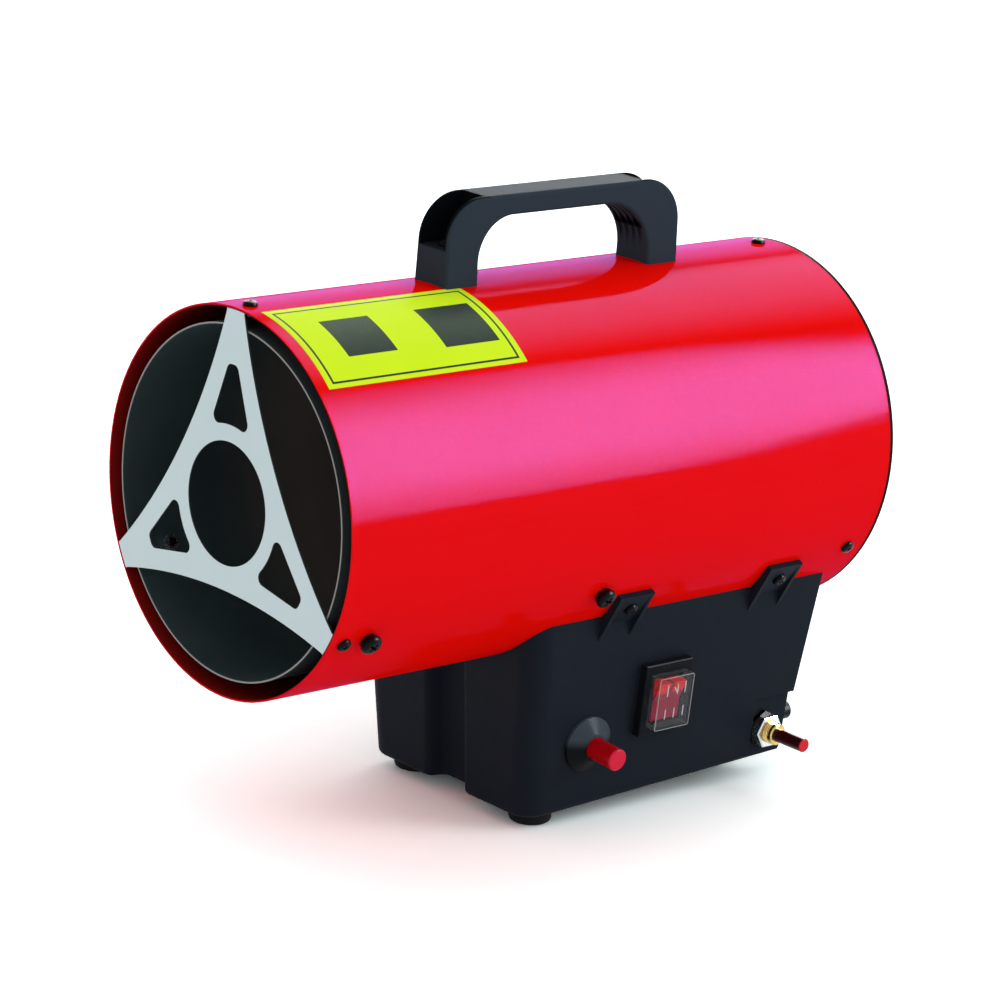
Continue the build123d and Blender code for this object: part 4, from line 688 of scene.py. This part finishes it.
give(burnt, "flame_cup", "burner_spider")
print("metals done")

# %% [markdown]
# ## Heat-darkened chamber
#
# The inner tube is aluminised steel that the flame has turned nearly black: cool and dark near the
# mouth, browner deeper in, round the burner, with its cut front edge left bright. A ramp could be
# painted by hand, but two masks along the tube's axis, one short and one long, are exact: the
# first finds the edge and the second the burner's end.


# %% Chamber
CUT_DEPTH = (0.2 * MM, 0.5 * MM)
BROWN_DEPTH = (46 * MM, 112 * MM)
CUT_STEEL = (0.22, 0.21, 0.20)
COOL_SOOT = ((0.024, 0.044, 0.050), (0.050, 0.078, 0.084))
BROWN_SOOT = ((0.145, 0.125, 0.115), (0.20, 0.17, 0.155))


def chamber_steel():
    finish = Finish("heat_darkened_steel")
    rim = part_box("combustion_chamber")[0].y
    bright = 1 - finish.axis("Y").ramp(*(rim + depth for depth in CUT_DEPTH))
    deep = finish.axis("Y").ramp(*(rim + depth for depth in BROWN_DEPTH))
    soot = finish.noise(35 * MM, 4, (1, 2.5, 1))
    dark = finish.mix(deep, finish.mix(soot, *COOL_SOOT), finish.mix(soot, *BROWN_SOOT))
    return finish.surface(
        base_color=finish.mix(bright, dark, CUT_STEEL),
        metallic=0.35,
        roughness=0.42 + soot * 0.15,
        normal=finish.bump(soot, 0.05 * MM),
    )


give(chamber_steel(), "combustion_chamber")
print("chamber darkened")

# %% [markdown]
# ## Powder-coated sheet
#
# The guard is a steel pressing with a pale grey coat, and the grille and the motor are black.
# Powder coats have a shallow pebbled skin, and the coat is thin on corners, where it shows a
# lighter tone. The guard's sheared edges are darkened with painted shade, and the direction that a
# face looks in tells those edges from the coated sheet.


# %% Powder coats
def powder_coat(name, colour, edge_colour, roughness, shine=0.5, cut=None):
    """A pebbled coat, thin on its corners. Cut, if given, is a painted shade for sheared edges."""
    finish = Finish(name)
    tone = finish.noise(45 * MM)
    deep = tuple(c * 0.93 for c in colour)
    coat = finish.mix(finish.edges(0.5 * MM), finish.mix(tone, deep, colour), edge_colour)
    if cut:
        normal = finish.node("NewGeometry", output="Normal")
        along = abs(finish.node("SeparateXYZ", inputs={0: normal}, output="Y"))
        coat = finish.mix(along.ramp(0.5, 0.8), cut, coat)
    return finish.surface(
        base_color=coat,
        roughness=roughness + tone * 0.06,
        specular_ior_level=shine,
        normal=finish.bump(finish.noise(1.6 * MM, 2), 0.012 * MM),
    )


# The near-black cut colour is painted shade on the guard's sheared edges.
guard_grey = powder_coat(
    "guard_grey", (0.60, 0.72, 0.75), (0.66, 0.77, 0.79), 0.32, cut=(0.05, 0.05, 0.05)
)
black_coat = powder_coat(
    "black_coat", (0.010, 0.009, 0.009), (0.015, 0.014, 0.014), 0.55, shine=0.01
)
give(guard_grey, "front_guard")
give(black_coat, "rear_grille", "fan_motor")
print("powder coats done")

# %% [markdown]
# ## Ceramic and wire jackets
#
# The spark electrode stands in glazed ceramic. The leads have soft jackets: silicone on the
# ignition lead, which passes near the flame, and black rubber on the motor's. All three are smooth
# and a little smeared, so one small function makes them, and only the roughness tells glaze from
# rubber.


# %% Ceramic and jackets
def smeared(name, colour, roughness):
    finish = Finish(name)
    smear = finish.noise(9 * MM, 3)
    return finish.surface(
        base_color=finish.mix(smear * 0.5, colour, tuple(c * 0.6 for c in colour)),
        roughness=roughness + smear * 0.1,
        normal=finish.bump(finish.noise(0.6 * MM), 0.01 * MM),
    )


give(smeared("glazed_ceramic", (0.82, 0.80, 0.74), 0.12), "electrode_ceramic")
give(smeared("silicone_jacket", (0.72, 0.69, 0.62), 0.45), "ignition_lead")
give(smeared("rubber_jacket", (0.02, 0.02, 0.02), 0.5), "motor_lead")
print("ceramic and jackets done")

# %% [markdown]
# ## Turned and threaded metal
#
# A screw or a threaded bush is a turned shape with a ridge wound round it. The solids leave both
# the thread and the cross in a screw's head out. A Screw modifier could wind the ridge, and a
# subdivided cylinder could be carved into the cross. Here both are skinned from rows of points,
# because then a thread can thin out at its ends as a real one does.


# %% Skinning rows of points
class Clay:
    """Points and faces gathered for one mesh."""

    def __init__(self):
        self.points = []
        self.faces = []

    def skin(self, rows, ring=False):
        """Joins rows of points, each closed on itself. The ends are capped, or joined as a ring."""
        start, count = len(self.points), len(rows[0])
        self.points += [point for row in rows for point in row]
        steps = len(rows) if ring else len(rows) - 1
        for step in range(steps):
            low = start + step * count
            high = start + (step + 1) % len(rows) * count
            for i in range(count):
                j = (i + 1) % count
                self.faces.append((low + i, low + j, high + j, high + i))
        if not ring:
            last = start + (len(rows) - 1) * count
            self.faces.append(tuple(range(start + count - 1, start - 1, -1)))
            self.faces.append(tuple(range(last, last + count)))

    def turned(self, outline, sides, ring=False):
        """Turns (radius, height) points about Z. A ring outline closes on itself."""
        turns = [2 * pi * side / sides for side in range(sides)]
        rows = [[Vector((r * cos(a), r * sin(a), h)) for a in turns] for r, h in outline]
        self.skin(rows, ring)

    def wound(self, radius, depth, pitch, start, end, sides):
        """A thread's ridge about Z between two heights. Each end thins over a third of a turn."""
        steps = int((end - start) / pitch * sides)
        fade = sides / 3
        rows = []
        for step in range(steps + 1):
            angle = 2 * pi * step / sides
            height = start + (end - start) * step / steps
            crest = max(0.02, min(1, step / fade, (steps - step) / fade))
            row = []
            for rise, out in ((-0.45, -0.15), (0, crest), (0.45, -0.15)):
                r = radius - depth + depth * out
                row.append(Vector((r * cos(angle), r * sin(angle), height + rise * pitch)))
            rows.append(row)
        self.skin(rows)

    def mesh(self, name):
        made = bpy.data.meshes.new(name)
        made.from_pydata(self.points, [], self.faces)
        return made


print("rows of points can be skinned")

# %% [markdown]
# ## Showing a made piece
#
# Every piece made here is fixed to the heater's housing, so it rides on that body. Its faces are
# shaded smooth with the sharp edges kept, which gives a turned part its crisp shoulders without
# more faces.


# %% Showing a made piece
def crisp(mesh, angle):
    """Smooth shading that keeps edges sharper than this many degrees."""
    mesh.shade_smooth()
    mesh.set_sharp_from_angle(angle=radians(angle))


def shown(name, mesh, material, slot, *stands_for):
    """Puts a mesh in the scene as a piece of the housing, in place of some solids or of none."""
    mesh.materials.clear()
    mesh.materials.append(material)
    made = bpy.data.objects.new(name, mesh)
    bpy.context.scene.collection.objects.link(made)
    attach(made, "housing")
    if stands_for:
        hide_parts(*stands_for)
    print(name, "has", len(mesh.polygons), "faces")


print("pieces can be shown")

# %% [markdown]
# ## Cross punch
#
# Every screw has a cross recess in its head, struck by a tapered punch. The recess could be
# modelled face by face, but it is easier to model the punch. It is a small cross at the bottom and
# a wider one at the top. Each is written as its height above the head's top, its reach and half its
# width, all as shares of the head's own height and radius.

# %% Cross punch
PUNCH_ENDS = ((-0.55, 0.30, 0.07), (0.1, 0.56, 0.12))


def cross_punch(head, height):
    """A tapered cross that reaches into the top of a screw's head."""
    rows = []
    for level, reach, width in PUNCH_ENDS:
        r, w, z = reach * head, width * head, height * (1 + level)
        corners = ((r, -w), (r, w), (w, w), (w, r), (-w, r), (-w, w))
        corners += ((-r, w), (-r, -w), (-w, -w), (-w, -r), (w, -r), (w, -w))
        rows.append([Vector((x, y, z)) for x, y in corners])
    punch = Clay()
    punch.skin(rows)
    return punch.mesh("cross_punch")


print("the punch goes", -PUNCH_ENDS[0][0], "of a head's height deep")

# %% [markdown]
# ## Punched head
#
# A pan head is a flat dome with a short upright side, so it is turned from a row of points. The
# chamber's screws have a stepped head, with a round neck under a lower dome. A Boolean modifier
# then cuts the punch out of it, as the factory strikes it, and works for a head of any size.

# %% Punched head
PAN_HEAD = ((0.95, 0), (1, 0.08), (1, 0.40), (0.95, 0.62), (0.80, 0.83), (0.55, 0.95), (0.25, 1))
NECK_SHARE = 0.46


def punched_head(head, height, neck):
    """A pan head on its seat at zero, with a neck under it if one is given, and its cross cut."""
    outline = [(r * head, z * height) for r, z in PAN_HEAD]
    if neck:
        raised = [(r, height * NECK_SHARE + z * (1 - NECK_SHARE)) for r, z in outline]
        outline = [(neck, 0)] + raised
    dome = Clay()
    dome.turned(outline, sides=32)
    blank = bpy.data.objects.new("blank", dome.mesh("blank"))
    punch = bpy.data.objects.new("punch", cross_punch(head, height))
    for piece in (blank, punch):
        bpy.context.scene.collection.objects.link(piece)
    cut = blank.modifiers.new("recess", "BOOLEAN")
    cut.operation = "DIFFERENCE"
    cut.object = punch
    cut.solver = "EXACT"
    graph = bpy.context.evaluated_depsgraph_get()
    struck = bpy.data.meshes.new_from_object(blank.evaluated_get(graph))
    for piece in (blank, punch):
        bpy.data.objects.remove(piece)
    return struck


print("a pan head is turned from", len(PAN_HEAD), "points")

# %% [markdown]
# ## One screw
#
# Under the head comes a shank with a coarse thread that bites metal or plastic. A bump could draw
# it, but a ridge of real faces costs little at this size, and it still looks like a thread where a
# screw's end shows inside the heater. The shank is turned at the thread's root, a little thinner
# than the screw, and the ridge is wound on it out to the full radius.

# %% One screw
ROOT_SHARE = 0.82
SCREW_PITCH = 0.8 * MM
THREAD_STOP = 0.3 * MM


def screw_pattern(head, height, neck, shank, length):
    """One pan-head screw that points its head up Z from its seat at zero."""
    struck = punched_head(head, height, neck)
    whole = Clay()
    whole.points = [vertex.co.copy() for vertex in struck.vertices]
    whole.faces = [tuple(face.vertices) for face in struck.polygons]
    root = ROOT_SHARE * shank
    core = [(0.4 * root, -length), (root, -length + root), (root, 0.02 * height)]
    whole.turned(core, sides=20)
    whole.wound(shank, shank - root, SCREW_PITCH, -length + root, -THREAD_STOP, sides=12)
    return whole


print("screws have a pitch of", SCREW_PITCH / MM, "mm")

# %% [markdown]
# ## Finding the screws
#
# The screws' places could be typed in, but they can be read from the solids, which keeps the two
# from drifting apart. A node holds several screws in one mesh. So its points are sorted into
# islands: points that share a place or an edge belong to the same screw.


# %% Finding the screws
def islands(node):
    """The points of each separate solid in a node."""
    mesh = nodes[node].data
    parent = list(range(len(mesh.vertices)))

    def top(i):
        while parent[i] != i:
            parent[i] = parent[parent[i]]
            i = parent[i]
        return i

    places = {}
    for vertex in mesh.vertices:
        key = tuple(round(c, 6) for c in vertex.co)
        parent[top(vertex.index)] = top(places.setdefault(key, vertex.index))
    for edge in mesh.edges:
        a, b = edge.vertices
        parent[top(a)] = top(b)
    groups = {}
    for vertex in mesh.vertices:
        groups.setdefault(top(vertex.index), []).append(vertex.co.copy())
    return list(groups.values())


print("the guard is held by", len(islands("guard_screws")), "screws")

# %% [markdown]
# ## Driving the screws
#
# One pattern is made for each length and then copied to where each solid stands. A solid screw is
# symmetrical about its own axis, so the middle of its points lies on that axis, and its lowest and
# highest points along it give the length. Screws are never driven to the same angle, so each copy
# is turned by an angle of its own, found from how many points were made before it.

# %% Driving the screws
SMALL = {"head": 3.5 * MM, "height": 2.2 * MM, "shank": 1.75 * MM}
HANDLE_SCREW = {"head": 4 * MM, "height": 3 * MM, "shank": 2.1 * MM}
CHAMBER_SCREW = {"head": 5.25 * MM, "height": 5.55 * MM, "shank": 2.1 * MM, "neck": 4 * MM}
TWIST = 0.37


def outward(middle):
    """The direction from the casing's axis to this place."""
    return Vector((middle.x, 0, middle.z - CASING_HEIGHT)).normalized()


def driven(node, facing, material, slot, head, height, shank, neck=0):
    """Replaces every screw of a node. Facing gives the way its head points."""
    clay = Clay()
    patterns = {}
    for points in islands(node):
        middle = sum(points, Vector()) / len(points)
        axis = facing(middle) if callable(facing) else Vector(facing)
        low, high = (limit(point.dot(axis) for point in points) for limit in (min, max))
        length = round(high - low - height, 5)
        if length not in patterns:
            patterns[length] = screw_pattern(head, height, neck, shank, length)
        start = len(clay.points)
        seat = middle + axis * (high - height - middle.dot(axis))
        twist = Matrix.Rotation(start * TWIST, 4, "Z")
        upright = axis.to_track_quat("Z", "Y").to_matrix().to_4x4()
        place = Matrix.Translation(seat) @ upright @ twist
        clay.points += [place @ point for point in patterns[length].points]
        clay.faces += [tuple(start + i for i in face) for face in patterns[length].faces]
    mesh = clay.mesh(node)
    crisp(mesh, 35)
    shown("cross_" + node, mesh, material, slot, node)


driven("guard_screws", outward, black_bright_tip, "black_steel", **SMALL)
driven("grille_screws", outward, blackened, "black_steel", **SMALL)
driven("tab_screws", outward, blackened, "black_steel", **SMALL)
driven("spider_screws", outward, zinc, "zinc_steel", **SMALL)
driven("foot_screws", (0, 0, -1), zinc, "zinc_steel", **SMALL)
driven("motor_screws", (0, 1, 0), zinc, "zinc_steel", **SMALL)
driven("handle_screws", (0, 0, 1), blackened, "black_steel", **HANDLE_SCREW)
driven("chamber_screws", outward, blackened, "black_steel", **CHAMBER_SCREW)

# %% [markdown]
# ## Threaded bush of the gas valve
#
# The valve's safety button runs in a brass bush, which two nuts clamp to the wall of the tray. A
# fine thread is cut along most of it and stops short of a plain lip at its end. A bump could draw
# the thread, but its teeth show in the bush's outline, so it is wound as a real ridge.

# %% Valve bush
BUSH_AXIS = (131 * MM, 27 * MM)
LIP_RAISED, LIP_CHAMFER = 0.2 * MM, 0.6 * MM
THREAD_FROM = 0.6 * MM


def along_x(y, z):
    """Lays a piece made about Z along X, on a line through this Y and Z."""
    turn = Matrix(((0, 0, 1), (1, 0, 0), (0, 1, 0))).to_4x4()
    return Matrix.Translation((0, y, z)) @ turn


def threaded_bush(outer, depth, pitch, lip):
    low, high = (corner.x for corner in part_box("valve_bush"))
    y, z = BUSH_AXIS
    places = [vertex.co for vertex in nodes["valve_bush"].data.vertices]
    bore = min(((p.y - y) ** 2 + (p.z - z) ** 2) ** 0.5 for p in places)
    root = outer - depth
    brim = root + LIP_RAISED
    outline = [(bore, low), (root, low), (root, high - lip), (brim, high - lip)]
    outline += [(brim, high - LIP_CHAMFER), (brim - LIP_CHAMFER, high), (bore, high)]
    clay = Clay()
    clay.turned(outline, sides=48, ring=True)
    clay.wound(outer, depth, pitch, low + THREAD_FROM, high - lip - THREAD_STOP, sides=24)
    mesh = clay.mesh("threaded_bush")
    mesh.transform(along_x(y, z))
    crisp(mesh, 25)
    return mesh


bush = threaded_bush(outer=5.7 * MM, depth=0.5 * MM, pitch=0.9 * MM, lip=2.4 * MM)
shown("threaded_bush", bush, brass, "brass", "valve_bush")

# %% [markdown]
# ## Ribs on the clear cover
#
# The boot has short raised ribs on its face, which keep a thumb from slipping. They would be easy
# to paint as pale strokes, but they catch light from the side, so each is a low ridge with rounded
# flanks. They are placed on the boot's face as if on paper: so far across, so far up, in
# millimetres, and then leaned with the wall of the tray.

# %% Cover ribs
RIBS = (
    ((-5.6, 3.6), (-5.6, 10.0)),
    ((1.0, 4.0), (1.0, 9.6)),
    ((-1.4, 8.4), (0.9, 5.0)),
    ((6.0, 4.2), (6.0, 10.4)),
    ((-5.6, -8.4), (-5.6, -2.8)),
    ((0.2, -8.4), (0.2, -2.8)),
    ((6.2, -8.0), (6.2, -2.4)),
)
RIB_SECTION = ((-1, -0.2), (-0.8, 0.6), (0, 1), (0.8, 0.6), (1, -0.2))
RIB_SWELL = ((0, 0.2), (0.08, 0.8), (0.2, 1), (0.8, 1), (0.92, 0.8), (1, 0.2))


def rib_rows(start, end, width, height):
    """Sections of one rib from its start to its end, which swell between thin tips."""
    along = (end - start).normalized()
    side = Vector((-along.y, along.x)) * width / 2
    rows = []
    for share, swell in RIB_SWELL:
        at = start.lerp(end, share)
        row = []
        for aside, rise in RIB_SECTION:
            lift = height * (rise * swell if rise > 0 else rise)
            row.append(Vector((*(at + side * aside * swell), lift)))
        rows.append(row)
    return rows


def cover_ribs(width, height):
    clay = Clay()
    for start, end in RIBS:
        clay.skin(rib_rows(Vector(start) * MM, Vector(end) * MM, width, height))
    mesh = clay.mesh("cover_ribs")
    turn = Matrix((WALL_ASIDE, WALL_UP, WALL_OUT)).transposed().to_4x4()
    face = Vector(COVER_FOOT) + Vector(WALL_OUT) * COVER_PROUD
    mesh.transform(Matrix.Translation(face) @ turn)
    crisp(mesh, 60)
    return mesh


def frosted():
    finish = Finish("frosted_ribs")
    grain = finish.noise(0.5 * MM)
    return finish.surface(
        base_color=finish.mix(grain, (0.50, 0.53, 0.56), (0.66, 0.69, 0.72)),
        roughness=0.5 + grain * 0.1,
        specular_ior_level=0.1,
    )


shown("cover_ribs", cover_ribs(width=0.55 * MM, height=0.3 * MM), frosted(), "clear_cover")

# %% [markdown]
# ## Yellow sticker
#
# A yellow sticker lies round the top of the casing near the hot end. It could be painted into the
# casing's finish, but a sticker has a thickness and an edge that catches light, so it is a thin
# closed sheet bent round the tube.

# %% Sticker
STICKER_ALONG = (-165.0 * MM, -48.3 * MM)
STICKER_ROUND = (47.3, 83.2)
STICKER_LIFT = 0.12 * MM
GLUE_LIFT = 0.01 * MM
STEPS_ALONG, STEPS_ROUND = 30, 36


def evenly(ends, steps):
    """Numbers from one end to the other in equal steps."""
    return [ends[0] + (ends[1] - ends[0]) * step / steps for step in range(steps + 1)]


def bent_sheet(name, along, round_axis):
    """A thin closed sheet on the casing between two places along it and two angles round it."""
    turns = [radians(angle) for angle in evenly(round_axis, STEPS_ROUND)]
    clay = Clay()
    rows = []
    for y in evenly(along, STEPS_ALONG):
        row = []
        for lift, order in ((STICKER_LIFT, turns), (GLUE_LIFT, turns[::-1])):
            r = CASING_RADIUS + lift
            row += [Vector((r * cos(a), y, CASING_HEIGHT + r * sin(a))) for a in order]
        rows.append(row)
    clay.skin(rows)
    mesh = clay.mesh(name)
    crisp(mesh, 40)
    return mesh


sticker = bent_sheet("sticker", STICKER_ALONG, STICKER_ROUND)
print("sticker is", round((STICKER_ALONG[1] - STICKER_ALONG[0]) / MM, 1), "mm long")

# %% [markdown]
# ## The sticker's print
#
# The sticker is kept blank: a thin dark line runs round it, and two plain dark panels stand where
# a maker would print. A picture could be laid over it, but straight-edged print is easier to find
# from two lengths on the sheet: how far along the tube a point is, in millimetres, and how far
# round it, in degrees. The ink is worn through in a few small grains.

# %% Sticker print
FRAME_OUTSIDE = ((-161.8, -51.6), (48.8, 81.1))
FRAME_INSIDE = ((-160.6, -52.8), (49.5, 80.4))
PANELS = (((-144.4, -116.0), (57.3, 73.4)), ((-88.8, -56.5), (55.9, 73.3)))
PRINT_SOFT = 0.25 * MM
INK = (0.028, 0.040, 0.036)
YELLOW = ((0.58, 0.83, 0.012), (0.64, 0.88, 0.020))


def sticker_print():
    finish = Finish("sticker_print")
    x, y, z = finish.axis("X"), finish.axis("Y"), finish.axis("Z") - CASING_HEIGHT
    angle = z.math("ARCTAN2", z, x) * (180 / pi)

    def panel(along, round_axis):
        across = angle.between(*round_axis, PRINT_SOFT / CASING_RADIUS * 180 / pi)
        return y.between(along[0] * MM, along[1] * MM, PRINT_SOFT) * across

    ink = panel(*FRAME_OUTSIDE) - panel(*FRAME_INSIDE)
    for place in PANELS:
        ink = ink.most(panel(*place))
    worn = finish.noise(0.4 * MM, 3).ramp(0.62, 0.75) * finish.noise(12 * MM).ramp(0.5, 0.7)
    ink = ink * (1 - worn * 0.3)
    return finish.surface(
        base_color=finish.mix(ink, finish.mix(finish.noise(30 * MM), *YELLOW), INK),
        roughness=0.34 + ink * 0.08,
        specular_ior_level=0.02,
        normal=finish.bump(finish.noise(9 * MM), 0.02 * MM),
    )


shown("sticker", sticker, sticker_print(), "casing_red")
